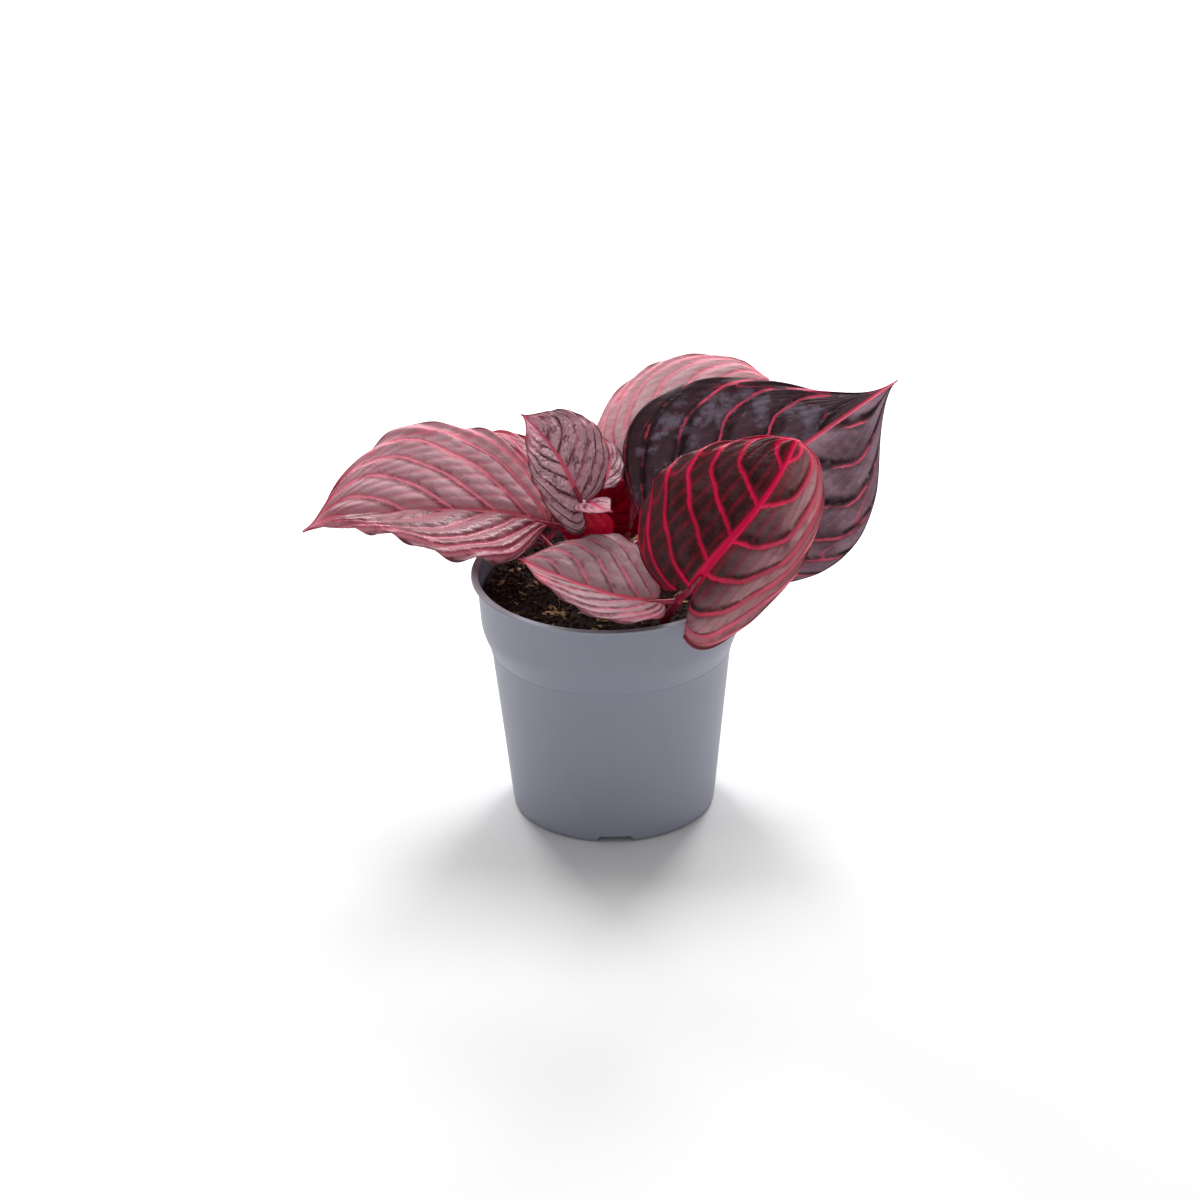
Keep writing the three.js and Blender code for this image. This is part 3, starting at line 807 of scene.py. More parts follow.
stems = {
    # each stem: its radius, its swelling at the joints and its route
    "stem_left": (2.4, 0.22, ((-15, 3, 92), (-15, 1, 112), (-13, -1, 130), (-11, -5, 145))),
    "stem_middle": (2.0, 0.22, ((1, 4, 92), (3, 5, 106), (8, 7, 124), (12, 11, 138))),
    "stem_front": (1.9, 0.18, ((20, -30, 92), (23, -36, 104), (28, -43, 115), (30, -46, 121))),
}
stalks = stalk_tree(stem_finish())
for name, (radius, swelling, route) in stems.items():
    sizes = {"Foot_radius": radius * FOOT_SPREAD * MM, "Top_radius": radius * TOP_TAPER * MM}
    chain = chain_mesh(name, place(route))
    shoot = grown(name + "_shoot", chain, stalks, **sizes, Joint_swelling=swelling)
    add_piece(name + "_shoot", shoot, [name])

# %% [markdown]
# ## The leaves
#
# Every blade is a sheet hung on its midrib. The midrib is a Bezier line from the blade's base to its tip,
# `face` says which way the upper side looks at base and tip, and each half (left and right of the midrib,
# seen from above with the tip ahead) has its greatest width, the two powers of its outline, its fold up
# from the midrib at base and tip, and its further curl. `lobe` reaches back past the base, `drip` is the
# tapered tip and `wave` the margin's waves. The veins are one number per half that grows along the blade,
# so that each whole number is one side vein: how many there are, how far they lean to the tip, and how much
# they bend.

# %% Leaf shapes


def both(value):
    """The same value for the left half and the right half."""
    return value, value


PLAIN_LEAF = dict(
    # what a leaf has unless its own entry says otherwise
    shape=both((0.5, 0.8)), fold=both((5, 5)), curl=both(-15), lobe=(0, 0), drip=0.1, wave=(3, 1.5),
    veins=both((4.5, 0.4, 0.2)), wrinkle=0.3,
)
# each half's painted light, at the midrib and at the margin, is a painted sheen above zero and painted
# shade below zero
leaves = {
    "leaf_left_big": dict(
        rib=((-25, 1, 132), (-45, 0, 142), (-96, -5, 146), (-133, -4, 133)),
        face=((0, -0.4, 0.9), (0, -0.3, 0.9)), half=(50, 42), shape=((1.2, 1.3), (0.85, 0.8)),
        fold=((10, 48), (28, 20)), curl=(-8, -10), lobe=(2, 8), drip=0.15, wave=(3.5, 1.6),
        petiole=((-14, 1, 120), (-18, 2, 128), (-24, 1, 131.5)), stalk=1.7,
        veins=((6.5, 0.4, 0.25), (6.0, 0.45, 0.25)), pucker=2.3, ruffle=1.5,
        painted_light=((-0.6, -0.5), (0.5, 0.8)), finish="pale",
    ),
    "leaf_left_back": dict(
        rib=((-23, 16, 128), (-34, 29, 140), (-51, 40, 154), (-64, 49, 149)),
        face=((0, -0.5, 0.8), (0, -0.4, 0.9)), half=(20, 18), shape=both((0.5, 0.9)),
        fold=((15, 15), (10, 10)), curl=(-10, -15),
        petiole=((-15, 2, 113), (-18, 8, 121), (-22.5, 15.5, 127.5)), stalk=1.3,
        veins=both((5.5, 0.4, 0.25)), pucker=1.3, ruffle=1.0, painted_light=((0.4, 0.5), (0.4, 0.6)),
        finish="pale",
    ),
    "leaf_top_puckered": dict(
        rib=((-12, -9, 148), (-19, -8, 166), (-24, -4, 174), (-37, 5, 183)),
        face=((0.1, -0.7, 0.7), (0, -0.6, 0.8)), half=(17, 21), shape=((0.5, 1.0), (0.55, 0.75)),
        fold=((8, 20), (14, 20)), curl=(5, -10), lobe=(42, 12), drip=0.12, wave=(4, 1.2),
        petiole=((-11.5, -4.5, 143), (-12, -8, 146), (-12, -9, 148.5)), stalk=1.2,
        veins=both((6.0, 0.4, 0.25)), pucker=0.6, wrinkle=1.7, ruffle=0.8,
        painted_light=((0.4, 0.4), (0.3, 0.3)), finish="puckered",
    ),
    "leaf_top_front": dict(
        rib=((-9, -12, 149), (-7, -19, 152), (-4, -24, 150), (2, -27, 151)),
        face=((-0.1, -0.2, 1), (0.1, 0, 1)), half=(8, 9), shape=both((0.6, 1.1)), curl=both(-10),
        wave=(0, 0), petiole=((-11, -5, 142.5), (-9.5, -9, 145), (-9, -12.5, 149)), stalk=1.1,
        pucker=0.4, ruffle=0.4, painted_light=both((-0.3, -0.3)), finish="puckered",
    ),
    "leaf_top_back": dict(
        rib=((-3, 7, 146), (-1, 12, 150), (4, 14, 155), (-2, 24, 163)),
        face=((0.1, -0.8, 0.5), (0, -0.7, 0.7)), half=(6, 7), fold=both((10, 10)), curl=both(0),
        wave=(4, 1), petiole=((-11.5, -3.5, 141), (-8, 1, 143), (-3, 7, 146.5)), stalk=1.1,
        pucker=0.4, wrinkle=1.0, ruffle=0.8, painted_light=both((0.8, 0.8)), finish="puckered",
    ),
    "leaf_centre_left": dict(
        rib=((-10, 8, 138), (-12, -1, 136), (-15, -10, 134), (-21, -11, 135)),
        face=((0, -0.6, 0.8), (0, -0.7, 0.7)), half=(16, 13), curl=both(-20), wave=(0, 0),
        petiole=((-14, 0, 125), (-10, 6, 130), (-10, 8, 138)), stalk=1.1, pucker=0.5, ruffle=0.4,
        painted_light=both((0.0, 0.0)), finish="painted_glow",
    ),
    "leaf_centre_right": dict(
        rib=((-4, 8, 126), (0, 9, 131), (7, 8, 139), (16, 22, 143)),
        face=((0.2, -0.8, 0.6), (0.1, -0.8, 0.6)), half=(20, 13), shape=((0.4, 0.8), (0.5, 0.8)),
        curl=both(-20), wave=(0, 0), petiole=((-15, 1, 116), (-9, 5, 120), (-4, 8, 126)), stalk=1.2,
        pucker=0.6, ruffle=0.6, painted_light=both((0.0, 0.0)), finish="painted_glow",
    ),
    "leaf_right_back": dict(
        rib=((7, 36, 136), (11, 48, 155), (36, 60, 170), (73, 66, 169)),
        face=((-0.2, -0.7, 0.7), (-0.1, -0.6, 0.8)), half=(25, 28),
        shape=((0.55, 0.65), (0.5, 0.8)), drip=0.05, wave=(2, 1),
        petiole=((10, 9, 131), (9, 22, 134), (7, 36, 137)), stalk=1.5, veins=both((5.5, 0.3, 0.4)),
        pucker=1.0, wrinkle=0.25, ruffle=0.7, painted_light=both((1.0, 0.7)), finish="rosy",
    ),
    "leaf_right_big": dict(
        rib=((26, -12, 117), (59, -3, 154), (83, 1, 166), (127, 27, 186.5)),
        face=((-0.1, -0.8, 0.7), (0.1, -0.7, 0.7)), half=(58, 50), shape=((0.5, 1.2), (0.6, 0.62)),
        fold=((4, 4), (3, 3)), curl=(-10, -15), drip=0.2, wave=(2, 1.2),
        petiole=((5, 6, 112), (16, -3, 114), (26, -12, 117.5)), stalk=1.8,
        veins=((4.6, 0.36, 0.3), (5.0, 0.3, 0.3)), pucker=1.2, wrinkle=0.25, ruffle=0.7,
        painted_light=((0.25, 0.05), (0.85, 1.0)), finish="dark",
    ),
    "leaf_front_round": dict(
        rib=((34.5, -52, 126), (43, -56, 145.5), (68, -52, 162), (80, -25.5, 183.5)),
        face=((-0.1, -0.8, 0.7), (-0.1, -0.7, 0.7)), half=(43, 31),
        shape=((0.35, 0.5), (0.35, 0.55)), fold=((5, 5), (6, 6)), curl=(-15, -25), lobe=(26, 60),
        drip=0.03, wave=(3, 1),
        petiole=((29.5, -45, 118.5), (31.5, -47.5, 121.5), (34.5, -52, 126.5)), stalk=1.7,
        veins=((4.8, 0.28, 0.3), (4.2, 0.22, 0.6)), pucker=1.5, ruffle=1.1,
        painted_light=((0.0, 0.1), (0.1, 1.9)), finish="crimson",
    ),
    "leaf_front_low": dict(
        rib=((20, -45, 117), (2, -50, 119), (-20, -40, 126), (-40, -24.5, 129)),
        face=((0, -0.4, 0.9), (-0.1, -0.4, 0.9)), half=(21, 28), shape=((0.45, 1.2), (0.55, 0.8)),
        fold=((28, 28), (22, 15)), curl=(-10, -15), lobe=(8, 12), wave=(2, 1),
        petiole=((28, -43, 116), (24, -44.5, 116.5), (19, -45, 117)), stalk=1.4,
        veins=both((5.5, 0.42, 0.25)), pucker=1.4, wrinkle=0.5, ruffle=0.8,
        painted_light=((0.3, 0.4), (0.35, 0.4)), finish="dusky",
    ),
    "leaf_back_right": dict(
        rib=((16, 16, 118), (41, 28, 135), (56, 50, 129), (72, 68, 116)),
        face=((-0.3, -0.3, 0.9), (0.3, 0.3, 0.9)), half=both(22), fold=both((12, 12)), lobe=(3, 3),
        petiole=((5, 6, 115), (10, 11, 116), (16.5, 16.5, 118.5)), stalk=1.5,
        veins=both((5.5, 0.38, 0.25)), pucker=1.3, ruffle=0.9, painted_light=((0.1, 0.3), (0.1, 0.4)),
        finish="crimson",
    ),
    "leaf_back_left": dict(
        rib=((-26, 10, 118), (-46, 25, 135), (-58, 38, 130), (-78, 58, 116)),
        face=((0.3, -0.3, 0.9), (-0.3, 0.3, 0.9)), half=both(22), fold=both((12, 12)), lobe=(3, 3),
        petiole=((-15, 2, 109), (-20, 5, 113), (-26.5, 10.5, 118.5)), stalk=1.5,
        veins=both((5.5, 0.38, 0.25)), pucker=1.3, ruffle=0.9, painted_light=both((0.1, 0.4)),
        finish="dark",
    ),
    "leaf_back_middle": dict(
        rib=((-13, 17, 145), (-13, 34, 160), (-14, 50, 156), (-15, 70, 138)),
        face=((0, -0.4, 0.9), (0, 0.4, 0.9)), half=both(9), shape=both((0.7, 0.8)),
        fold=both((12, 12)), petiole=((-11.5, -4, 143.5), (-12.5, 6, 143), (-13, 17, 145.8)),
        stalk=1.2, veins=both((5.5, 0.38, 0.25)), pucker=0.7, wrinkle=0.4, ruffle=0.6,
        painted_light=both((0.2, 0.4)), finish="dark",
    ),
}
leaves = {name: PLAIN_LEAF | leaf for name, leaf in leaves.items()}
print(len(leaves), "leaves")

# %% The sheet of a leaf
RIB_START = 0.02
RIB_END = 0.985
BASE_TUCK = 0.03
LOBE_FADE = 8
WAVE_LAG = 1.3


def rib_line(leaf, s):
    """Points on the midrib and its heading there, for shares s of the way to the tip."""
    p0, p1, p2, p3 = (np.array(p, float) for p in leaf["rib"])
    s = s[..., None]
    u = 1 - s
    points = u**3 * p0 + 3 * u * u * s * p1 + 3 * u * s * s * p2 + s**3 * p3
    heading = u * u * (p1 - p0) + 2 * u * s * (p2 - p1) + s * s * (p3 - p2)
    return points, heading / np.linalg.norm(heading, axis=-1, keepdims=True)


def outline(leaf, side, s):
    """Half-width of one side of the blade, as a share of its greatest, before its base is tucked in."""
    p, q = leaf["shape"][side]
    peak_at = p / (p + q)
    peak = peak_at**p * (1 - peak_at) ** q
    taper = 1 - np.exp(-(((1 - s) / leaf["drip"]) ** 1.5))
    return s**p * (1 - s) ** q * taper / peak


def half_width(leaf, side, s):
    """Half-width in millimetres."""
    return leaf["half"][side] * outline(leaf, side, s) * (1 - np.exp(-s / BASE_TUCK))


def sheet_points(leaf, side, s, t):
    """Points of one side of the sheet at s along the midrib and t from midrib to margin, both 0 to 1."""
    points, ahead = rib_line(leaf, s)
    first, last = (np.array(f, float) / np.linalg.norm(f) for f in leaf["face"])
    up = first + (last - first) * s[..., None]
    up = up - ahead * np.sum(up * ahead, axis=-1, keepdims=True)
    up = up / np.linalg.norm(up, axis=-1, keepdims=True)
    across = np.cross(ahead, up) * (2 * side - 1)
    reach = half_width(leaf, side, s)
    width = reach / leaf["half"][side]
    fold_base, fold_tip = np.radians(leaf["fold"][side])
    fold = fold_base + (fold_tip - fold_base) * s
    curl = math.radians(leaf["curl"][side]) or 1e-4
    out = (np.sin(fold + curl * t) - np.sin(fold)) / curl
    rise = (np.cos(fold) - np.cos(fold + curl * t)) / curl
    waves, height = leaf["wave"]
    ripple = height * np.sin(2 * math.pi * waves * s + WAVE_LAG * side) * t**3 * np.sqrt(width)
    back = leaf["lobe"][side] * t * outline(leaf, side, s) * (1 - s) ** LOBE_FADE
    return (
        points
        + across * (reach * out)[..., None]
        + up * (reach * rise + ripple)[..., None]
        - ahead * back[..., None]
    )


def sway(a, b, seed):
    """A smooth irregular value, about -1 to 1, that keeps repeated veins from looking ruled."""
    total = np.sin(5.1 * a + 2.3 * b + seed) + np.sin(9.7 * a - 6.1 * b + 2.7 * seed)
    return (total + 0.6 * np.sin(17.0 * a + 13.0 * b + 1.3 * seed)) / 2.6


# %% [markdown]
# ## Veins and puckers
#
# A bloodleaf pushes its blade up between the veins, so the upper side looks quilted. For each point of a
# half, `vein_phase` counts side veins and `length_along_vein` measures how far along its vein it lies. The
# relief is then one formula of those two: it is low on a vein and high between veins, and cross veins
# dimple it again. The same numbers are kept as attributes, so that the colours follow the relief exactly,
# with painted shade in its hollows and a painted sheen on its crests.

# %% Relief of a half
CROSS_SPACING = 7.0  # millimetres from one cross vein to the next
VEIN_STEPS = 14
VEIN_SWAY = 0.24
SIDE_SHIFT = 0.35  # the right half's side veins start so much further on than the left half's
BAND_SHIFT = 0.37  # and each band's cross veins so much further on than its neighbour's
DIMPLE = 0.2
FINE_SHARE = 0.8
FULL_WIDTH = 12.0  # blades narrower than this have a lower relief
LOOP_PLACE = 0.88
LOOP_SCALLOP = 0.025


def vein_start(leaf, side, s, t):
    """Where on the midrib the side vein through a point starts."""
    _, lean, bend = leaf["veins"][side]
    return s - lean * t - bend * t**4


def vein_phase(leaf, side, seed, s, t):
    """A number that is whole on each side vein."""
    phase = leaf["veins"][side][0] * vein_start(leaf, side, s, t) + SIDE_SHIFT * side
    return phase + VEIN_SWAY * sway(s, t, seed + side) * t


def length_along_vein(leaf, side, s, t):
    """Millimetres along the side vein from the midrib to each point, summed over short steps."""
    _, lean, bend = leaf["veins"][side]
    start = vein_start(leaf, side, s, t)
    path = []
    for part in (t * k / VEIN_STEPS for k in range(VEIN_STEPS + 1)):
        share = np.clip(start + lean * part + bend * part**4, RIB_START, RIB_END)
        path.append(sheet_points(leaf, side, share, part))
    return sum(np.linalg.norm(after - before, axis=-1) for before, after in zip(path, path[1:]))


def spread_of(points, value):
    """Millimetres over the surface for each 1 that the value grows."""
    along_a, along_b = np.gradient(points, axis=0), np.gradient(points, axis=1)
    step_a, step_b = np.gradient(value, axis=0), np.gradient(value, axis=1)
    aa, bb = np.sum(along_a**2, axis=-1), np.sum(along_b**2, axis=-1)
    ab = np.sum(along_a * along_b, axis=-1)
    steepness = bb * step_a**2 - 2 * ab * step_a * step_b + aa * step_b**2
    return 1 / np.sqrt(np.maximum(steepness / np.maximum(aa * bb - ab**2, 1e-9), 1e-6))


def half_sheet(leaf, side, seed, rows, columns):
    """One side of the leaf: its points and every value that its relief and colours need."""
    share = RIB_START + (RIB_END - RIB_START) * np.linspace(0, 1, rows)
    s, t = np.meshgrid(share, np.linspace(0, 1, columns + 1), indexing="ij")
    points = sheet_points(leaf, side, s, t)
    reach = half_width(leaf, side, s)
    phase = vein_phase(leaf, side, seed, s, t)
    cross = length_along_vein(leaf, side, s, t) / CROSS_SPACING
    bulge = np.abs(np.sin(math.pi * phase)) ** 0.75
    ladder = np.abs(np.sin(math.pi * (cross + BAND_SHIFT * np.floor(phase)))) ** 0.7
    dimple = 1 - DIMPLE + DIMPLE * ladder
    fine = np.abs(np.sin(math.pi * (3.1 * phase + 0.9 * sway(2 * s, 3 * t, seed))))
    fine = fine * (0.6 + 0.4 * sway(5 * s, 4 * t, seed + 2))
    room = np.clip(reach * t / 5.0, 0, 1) * np.clip(reach * (1 - t) / 4.0, 0, 1) ** 0.7
    room = room * np.clip(reach / FULL_WIDTH, 0.15, 1)
    wrinkle = FINE_SHARE * leaf["wrinkle"]
    relief = bulge * dimple * leaf["pucker"] + fine * wrinkle
    ruffle = leaf["ruffle"] * np.sin(2 * math.pi * phase + 0.7) * t**3
    ruffle = ruffle * np.clip(reach / FULL_WIDTH, 0.2, 1)
    # painted light, from the midrib out to the margin: a painted sheen above zero, painted shade below zero
    painted_light_mid, painted_light_margin = leaf["painted_light"][side]
    values = {
        "phase": phase,
        "spread": spread_of(points, phase),
        "cross": cross,
        "rib": reach * t,
        "loop": (t - LOOP_PLACE - LOOP_SCALLOP * np.cos(2 * math.pi * phase)) * reach,
        "margin": (1 - t) * reach,
        "relief": np.clip(relief / (leaf["pucker"] + wrinkle), 0, 1),
        "along": s,
        "painted_light": painted_light_mid + (painted_light_margin - painted_light_mid) * t**2,
    }
    return points, relief * room + ruffle, values


# %% Both sides into one closed blade
COARSE_GRAIN = 0.85
FINE_GRAIN = 0.45  # for leaves shorter than SMALL_LEAF, whose wrinkles are finer
SMALL_LEAF = 60.0
THICK = 0.5
THIN = 0.28
# three values each, in the attributes that the colours read
STORED = {
    "veins": ("phase", "spread", "cross"),
    "lines": ("rib", "loop", "margin"),
    "mood": ("relief", "along", "painted_light"),
}


def blade_mesh(name, leaf, seed):
    """The closed mesh of a blade: an upper and a lower sheet, joined round the margin."""
    rib_points, _ = rib_line(leaf, np.linspace(0, 1, 60))
    length = np.linalg.norm(np.diff(rib_points, axis=0), axis=1).sum()
    grain = FINE_GRAIN if length < SMALL_LEAF else COARSE_GRAIN
    rows = int(length / grain)
    columns = int(max(leaf["half"]) / grain)
    halves = [half_sheet(leaf, side, seed, rows, columns) for side in (0, 1)]

    def joined(left, right):
        """Left margin to midrib to right margin."""
        return np.concatenate([left[:, ::-1], right[:, 1:]], axis=1)

    points = joined(halves[0][0], halves[1][0])
    relief = joined(halves[0][1], halves[1][1])
    values = {key: joined(halves[0][2][key], halves[1][2][key]) for key in halves[0][2]}
    normal = np.cross(np.gradient(points, axis=1), np.gradient(points, axis=0))
    normal /= np.maximum(np.linalg.norm(normal, axis=-1, keepdims=True), 1e-9)
    rib_size = np.clip(1.5 * (1 - values["along"]) + 0.3, 0.3, 1.6)
    groove = 0.55 * rib_size * np.exp(-((values["rib"] / (0.9 * rib_size)) ** 2))
    ridge = 0.9 * rib_size * np.exp(-((values["rib"] / rib_size) ** 2))
    nearest = np.abs(values["phase"] - np.round(values["phase"])) * values["spread"]
    side_ridge = 0.35 * np.exp(-((nearest / 0.7) ** 2)) * np.clip(values["rib"] / 3, 0, 1)
    side_ridge = side_ridge * np.clip(values["margin"] / 4, 0, 1)
    thickness = THIN + (THICK - THIN) * np.clip(values["margin"] / 5.0, 0, 1)
    upper = points + normal * (relief - groove + thickness / 2)[..., None]
    lower = points + normal * (relief - groove * 0.5 - thickness / 2 - ridge - side_ridge)[..., None]

    count = 2 * columns + 1
    layer = rows * count
    number = np.arange(layer).reshape(rows, count)
    a, b = number[:-1, :-1].ravel(), number[:-1, 1:].ravel()
    c, d = number[1:, 1:].ravel(), number[1:, :-1].ravel()
    top_faces = np.stack([a, b, c, d], axis=1)
    under_faces = np.stack([a, d, c, b], axis=1) + layer
    edge = np.concatenate([number[0, :], number[1:, -1], number[-1, -2::-1], number[-2:0:-1, 0]])
    after = np.roll(edge, -1)
    rim_faces = np.stack([after, edge, edge + layer, after + layer], axis=1)
    faces = np.concatenate([top_faces, under_faces, rim_faces])
    mesh = bpy.data.meshes.new(name)
    corners = place(np.concatenate([upper.reshape(-1, 3), lower.reshape(-1, 3)]))
    mesh.from_pydata(corners.tolist(), [], faces.tolist())

    for key, group in STORED.items():
        attribute = mesh.attributes.new(key, "FLOAT_VECTOR", "POINT")
        stacked = np.stack([values[item].ravel() for item in group], axis=1)
        attribute.data.foreach_set("vector", np.concatenate([stacked, stacked]).astype(np.float32).ravel())
    under = mesh.attributes.new("under", "FLOAT", "POINT")
    under.data.foreach_set("value", np.repeat([0.0, 1.0], layer).astype(np.float32))

    u, v = np.meshgrid(np.linspace(0.01, 0.47, count), np.linspace(0.01, 0.99, rows))
    flat = np.stack([u.ravel(), v.ravel()], axis=1)
    flat = np.concatenate([flat, flat + [0.51, 0.0]])
    strip = np.linspace(0.01, 0.99, len(edge) + 1)
    rim = ((0.482, strip[1:]), (0.482, strip[:-1]), (0.498, strip[:-1]), (0.498, strip[1:]))
    rim_uv = np.stack([np.stack([np.full(len(edge), x), y], axis=1) for x, y in rim], axis=1)
    face_uv = np.concatenate([flat[faces[: -len(edge)]], rim_uv])
    layout = mesh.uv_layers.new(name="OFBake")
    layout.data.foreach_set("uv", face_uv.astype(np.float32).ravel())
    print(f"{name}: {length:.0f} mm long, {2 * len(faces)} triangles")
    return smooth(mesh)


# %% [markdown]
# ## The colours of a leaf
#
# One function paints all the blades, and a palette turns it into a pale, dark or crimson leaf. It works
# from the inside out: dark and light cells first, with painted shade in the hollows of the relief, then
# painted light, which is a sheen where its value is above zero and shade where it is below, patches of
# painted sheen on the darker blades, a halo of bleeding red round each vein, then side veins, cross veins,
# a looped vein near the margin and the midrib, each with its own width. The underside is plainer and
# redder.

# %% Leaf finishes
PLAIN_TONES = dict(back=(104, 34, 54), sheen=(190, 160, 172), sheen_share=0.0, gloss=0.16)
palettes = {
    # deep and mid cell (deep is also the painted shade), painted light (a painted sheen), halo, vein, vein
    # core, margin, underside and painted sheen colours, then halo, vein and midrib half-widths in mm, how
    # far the veins fade into the blade, how strong the side veins, the cross veins, the vein loops near the
    # margin, the halo and the painted sheen are, and how glossy the blade is
    "pale": dict(
        deep=(94, 26, 42), cell=(186, 134, 143), painted_light=(212, 172, 180), halo=(230, 122, 142),
        vein=(240, 112, 136), core=(252, 160, 178), margin=(100, 40, 52), halo_mm=2.6, vein_mm=0.6,
        rib_mm=1.3, fading=0.35, lateral=1.0, ladder=0.5, looping=0.8, bleed=0.5,
    ),
    "rosy": dict(
        deep=(150, 100, 108), cell=(184, 144, 149), painted_light=(204, 170, 175), halo=(242, 140, 156),
        vein=(248, 142, 160), core=(250, 160, 174), margin=(112, 52, 62), halo_mm=3.0, vein_mm=0.6,
        rib_mm=1.4, fading=0.5, lateral=0.9, ladder=0.6, looping=0.9, bleed=0.6,
    ),
    "dusky": dict(
        deep=(100, 56, 66), cell=(158, 122, 128), painted_light=(188, 156, 162), halo=(190, 112, 126),
        vein=(222, 94, 120), core=(236, 118, 140), margin=(90, 38, 50), halo_mm=1.8, vein_mm=0.6,
        rib_mm=1.5, fading=0.8, lateral=0.55, ladder=0.2, looping=0.4, bleed=0.4,
    ),
    "puckered": dict(
        deep=(78, 14, 34), cell=(206, 154, 166), painted_light=(232, 200, 208), halo=(130, 50, 70),
        vein=(222, 84, 114), core=(238, 104, 132), margin=(80, 20, 36), halo_mm=0.6, vein_mm=0.4,
        rib_mm=1.1, fading=1.0, lateral=0.3, ladder=0.0, looping=0.0, bleed=0.4,
    ),
    "dark": dict(
        deep=(16, 4, 7), cell=(36, 13, 19), painted_light=(156, 126, 140), halo=(104, 10, 38),
        vein=(214, 48, 90), core=(238, 96, 128), margin=(54, 14, 24), sheen=(128, 118, 136),
        halo_mm=1.4, vein_mm=0.65, rib_mm=2.0, fading=1.0, lateral=0.8, ladder=0.15, looping=0.3,
        bleed=0.6, sheen_share=0.9,
    ),
    "crimson": dict(
        deep=(26, 6, 8), cell=(46, 14, 16), painted_light=(190, 142, 148), halo=(150, 0, 36), vein=(206, 0, 58),
        core=(234, 0, 88), margin=(84, 16, 30), sheen=(118, 88, 96), halo_mm=2.6, vein_mm=0.9,
        rib_mm=2.4, fading=0.4, lateral=1.0, ladder=0.08, looping=0.3, bleed=0.95, sheen_share=0.15,
    ),
    # painted glow: crimson undersides, with the light that shines through them painted in as a bright,
    # saturated crimson
    "painted_glow": dict(
        deep=(92, 0, 14), cell=(136, 0, 28), painted_light=(150, 8, 40), halo=(140, 0, 28), vein=(156, 0, 36),
        core=(168, 4, 44), margin=(120, 0, 28), back=(124, 0, 24), sheen=(190, 60, 90), halo_mm=2.0,
        vein_mm=0.5, rib_mm=1.0, fading=0.8, lateral=0.6, ladder=0.0, looping=0.0, bleed=0.5,
        gloss=0.01,
    ),
}
palettes = {name: PLAIN_TONES | tones for name, tones in palettes.items()}
# the veins' colour under the painted sheen
PAINTED_SHEEN_VEIN = shade(236, 124, 144)
BACK_VEIN = shade(176, 66, 92)
SHADED = shade(130, 118, 118)  # painted shade: a painted light value below zero darkens the blade by this
# how many lumps there are per metre in each of the patterns
CLOUDS, BLOTCHES, JITTER, NET, SHEEN_PATCHES = 70.0, 240.0, 420.0, 480.0, 110.0


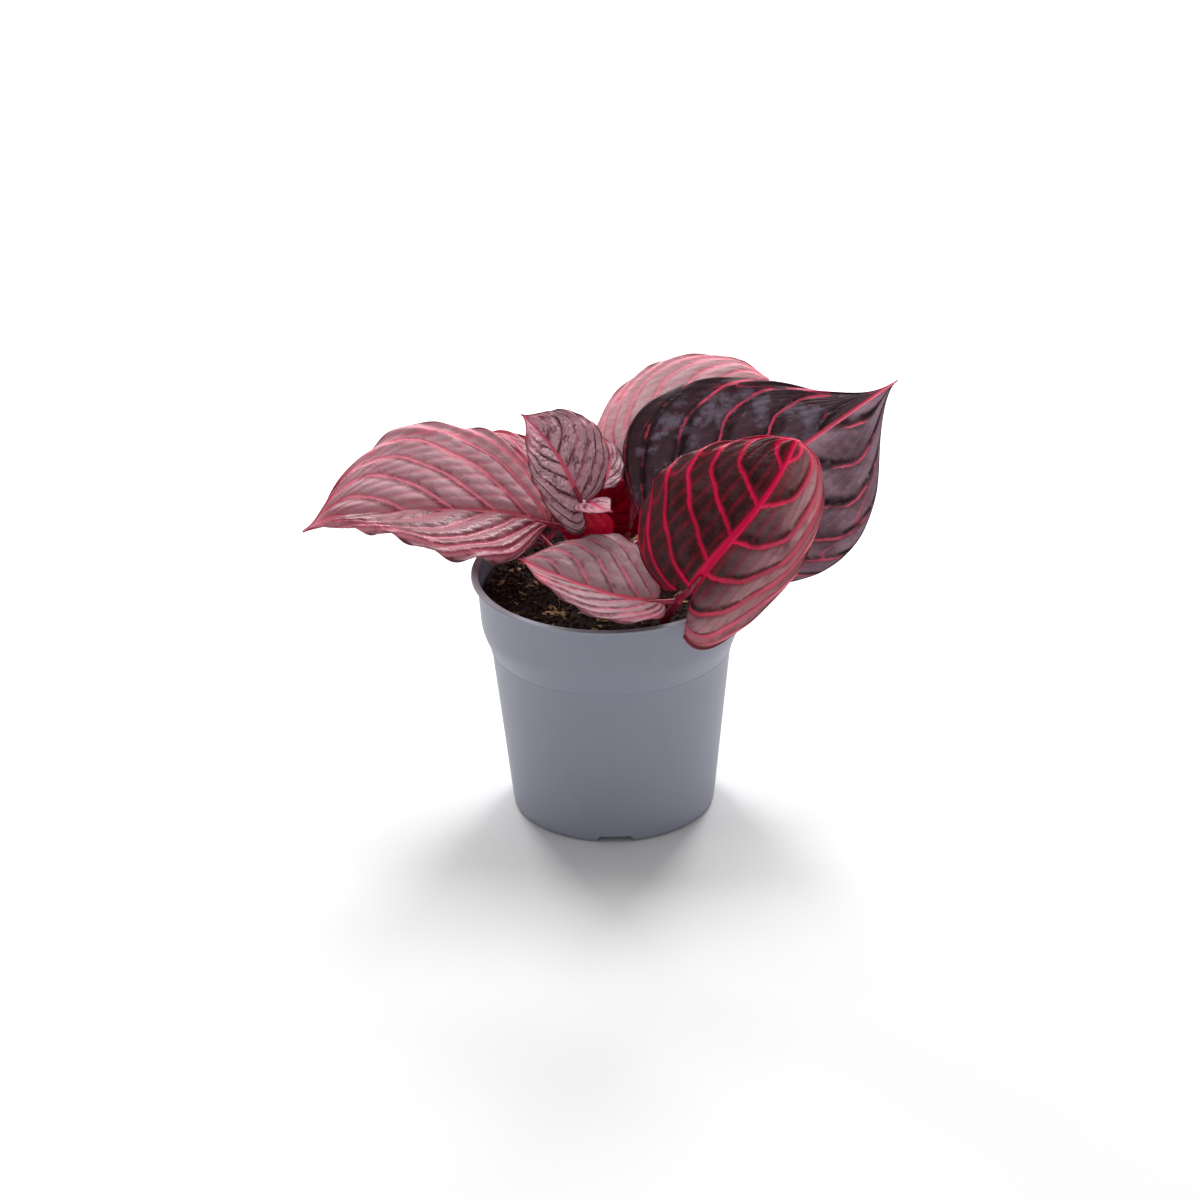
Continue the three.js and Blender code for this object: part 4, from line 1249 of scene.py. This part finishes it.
def leaf_finish(name, tones):
    """The material of the blades that share a palette."""
    gloss = tones["gloss"]
    finish = Finish("leaf_" + name, Specular_IOR_Level=gloss, Coat_Weight=gloss * 0.3, Coat_Roughness=0.3)

    def part_of(attribute, letter):
        vector = finish.node("ShaderNodeAttribute", {"attribute_name": attribute}, None, output="Vector")
        return finish.node("ShaderNodeSeparateXYZ", None, {"Vector": vector}, output=letter)

    phase, spread, cross = (part_of("veins", letter) for letter in "XYZ")
    rib, loop, margin = (part_of("lines", letter) for letter in "XYZ")
    relief, along, painted_light = (part_of("mood", letter) for letter in "XYZ")
    under = finish.attribute("under")
    colours = {key: shade(*value) for key, value in tones.items() if isinstance(value, tuple)}
    halo_mm, vein_mm, rib_mm = tones["halo_mm"], tones["vein_mm"], tones["rib_mm"]

    clouds = finish.noise(CLOUDS, 3.0)
    blotches = finish.noise(BLOTCHES, 4.0)
    jitter = finish.noise(JITTER, 2.0) - 0.5
    to_edge, values = {"feature": "DISTANCE_TO_EDGE"}, {"Vector": finish.coordinates(), "Scale": NET}
    net = finish.node("ShaderNodeTexVoronoi", to_edge, values, output="Distance")

    uneven = phase + jitter * 0.08
    from_vein = (uneven + 0.5).math("FRACT") - 0.5
    signed = from_vein * spread
    side_vein = signed.absolute()
    cross_vein = (cross + uneven.math("FLOOR") * BAND_SHIFT + jitter * 0.45).to_nearest() * CROSS_SPACING
    looped = (loop + jitter * 1.6).absolute()
    inner = rib + jitter * 0.6
    slimmed = inner / (along.fades(0.1, 1.0) * 0.6 + 0.4)
    out_here = margin.rises(0.5, 5.0)
    shown = 1.0 - tones["fading"] * clouds.rises(0.42, 0.6)
    lateral, looping = shown * tones["lateral"], shown * tones["looping"]

    vein = side_vein.fades(vein_mm * 0.4, vein_mm * (1.1 + blotches * 0.8))
    vein = vein * (out_here * 0.6 + 0.4) * lateral
    ladder = cross_vein.fades(vein_mm * 0.1, vein_mm * 1.3) * out_here
    ladder = ladder * blotches.rises(0.36, 0.6) * shown * tones["ladder"]
    ring = looped.fades(vein_mm * 0.2, vein_mm * 1.3) * looping
    midrib = slimmed.fades(rib_mm * 0.6, rib_mm * 1.2)
    web = vein.math("MAXIMUM", ladder).math("MAXIMUM", ring).math("MAXIMUM", midrib)
    core = (signed + vein_mm * 0.3).absolute().fades(vein_mm * 0.1, vein_mm * 0.9) * lateral
    core = core.math("MAXIMUM", slimmed.fades(rib_mm * 0.3, rib_mm * 0.9))
    core = core.math("MAXIMUM", looped.fades(0.0, vein_mm * 0.8) * looping)
    halo = side_vein.fades(0.0, halo_mm).math("MAXIMUM", cross_vein.fades(0.0, halo_mm * 0.7) * 0.6)
    halo = halo.math("MAXIMUM", looped.fades(0.0, halo_mm) * tones["looping"]) * shown
    halo = halo.math("MAXIMUM", inner.fades(0.0, halo_mm * 1.6))
    shadow = from_vein.rises(0.02, 0.1) * from_vein.fades(0.15, 0.36) * blotches.rises(0.2, 0.5)

    # the cells' own blotchy tone, with painted shade in the hollows of the relief and lighter crests
    light = (blotches.rises(0.3, 0.7) * 0.6 + relief * 0.4).rises(0.05, 0.5)
    colour = finish.mix(light, colours["deep"], colours["cell"])
    # painted sheen, strongest on the crests of the relief
    painted_sheen = painted_light * (0.35 + clouds.rises(0.3, 0.6) * 0.65) * (0.25 + relief.rises(0.15, 0.7) * 0.75)
    colour = finish.mix(painted_sheen, colour, colours["painted_light"])
    # painted reflection: blue-grey sheen patches away from the margin, where there is no painted light
    sheen_mask = finish.noise(SHEEN_PATCHES, 4.0, roughness=0.6).rises(0.46, 0.64)
    sheen_mask = sheen_mask * (1.0 - painted_light) * margin.rises(2.0, 14.0) * tones["sheen_share"]
    colour = finish.mix(sheen_mask, colour, colours["sheen"])
    colour = finish.mix(shadow * clouds.rises(0.35, 0.55) * 0.95, colour, colours["deep"])
    colour = finish.mix(net.fades(0.0, 0.08) * 0.16, colour, colours["halo"])
    colour = finish.mix(halo * (0.4 + blotches * 0.6) * tones["bleed"], colour, colours["halo"])
    colour = finish.mix(margin.fades(0.25, 0.9) * 0.8, colour, colours["margin"])
    # veins and their cores take on the painted sheen as well
    colour = finish.mix(web, colour, finish.mix(painted_light * 0.45, colours["vein"], PAINTED_SHEEN_VEIN))
    colour = finish.mix(core * 0.8, colour, finish.mix(painted_light * 0.5, colours["core"], PAINTED_SHEEN_VEIN))
    back = finish.mix(clouds.rises(0.3, 0.7) * 0.5, colours["back"], colours["halo"])
    back = finish.mix(web * 0.8, back, BACK_VEIN)
    # painted shade: where the painted light is below zero, the blade is darkened
    colour = finish.mix(painted_light * -1.0, colour, SHADED, blend="MULTIPLY")
    finish.feed("Base Color", finish.mix(under, colour, back))
    finish.feed("Roughness", 0.3 + blotches * 0.16 + painted_light * 0.1 + under * 0.15)
    finish.bump(net.fades(0.0, 0.2) * -0.6 + blotches * 0.5, 0.3, 0.25)
    return finish.material


finishes = {name: leaf_finish(name, tones) for name, tones in palettes.items()}
slots = dict.fromkeys(("pale", "rosy", "dusky", "puckered"), "leaf_pale")
slots |= {"dark": "leaf_dark", "crimson": "leaf_crimson", "painted_glow": "leaf_crimson"}

# %% Blades and their stalks
STALK_OVERLAP = 0.12  # share of the midrib that the stalk runs under
STALK_END = 0.55  # its radius there, as a share of the radius at its foot

for seed, (name, leaf) in enumerate(leaves.items()):
    blade = blade_mesh(name + "_blade", leaf, 1.7 * seed)
    blade.materials.append(finishes[leaf["finish"]])
    add_piece(name + "_blade", blade, [name])
    under_rib, _ = rib_line(leaf, np.array([STALK_OVERLAP]))
    route = (*leaf["petiole"], tuple(under_rib[0] - (0, 0, 0.3 * leaf["stalk"])))
    sizes = {"Foot_radius": leaf["stalk"] * MM, "Top_radius": leaf["stalk"] * STALK_END * MM}
    stalk = grown(name + "_stalk", chain_mesh(name, place(route)), stalks, **sizes)
    add_piece(name + "_stalk", stalk)
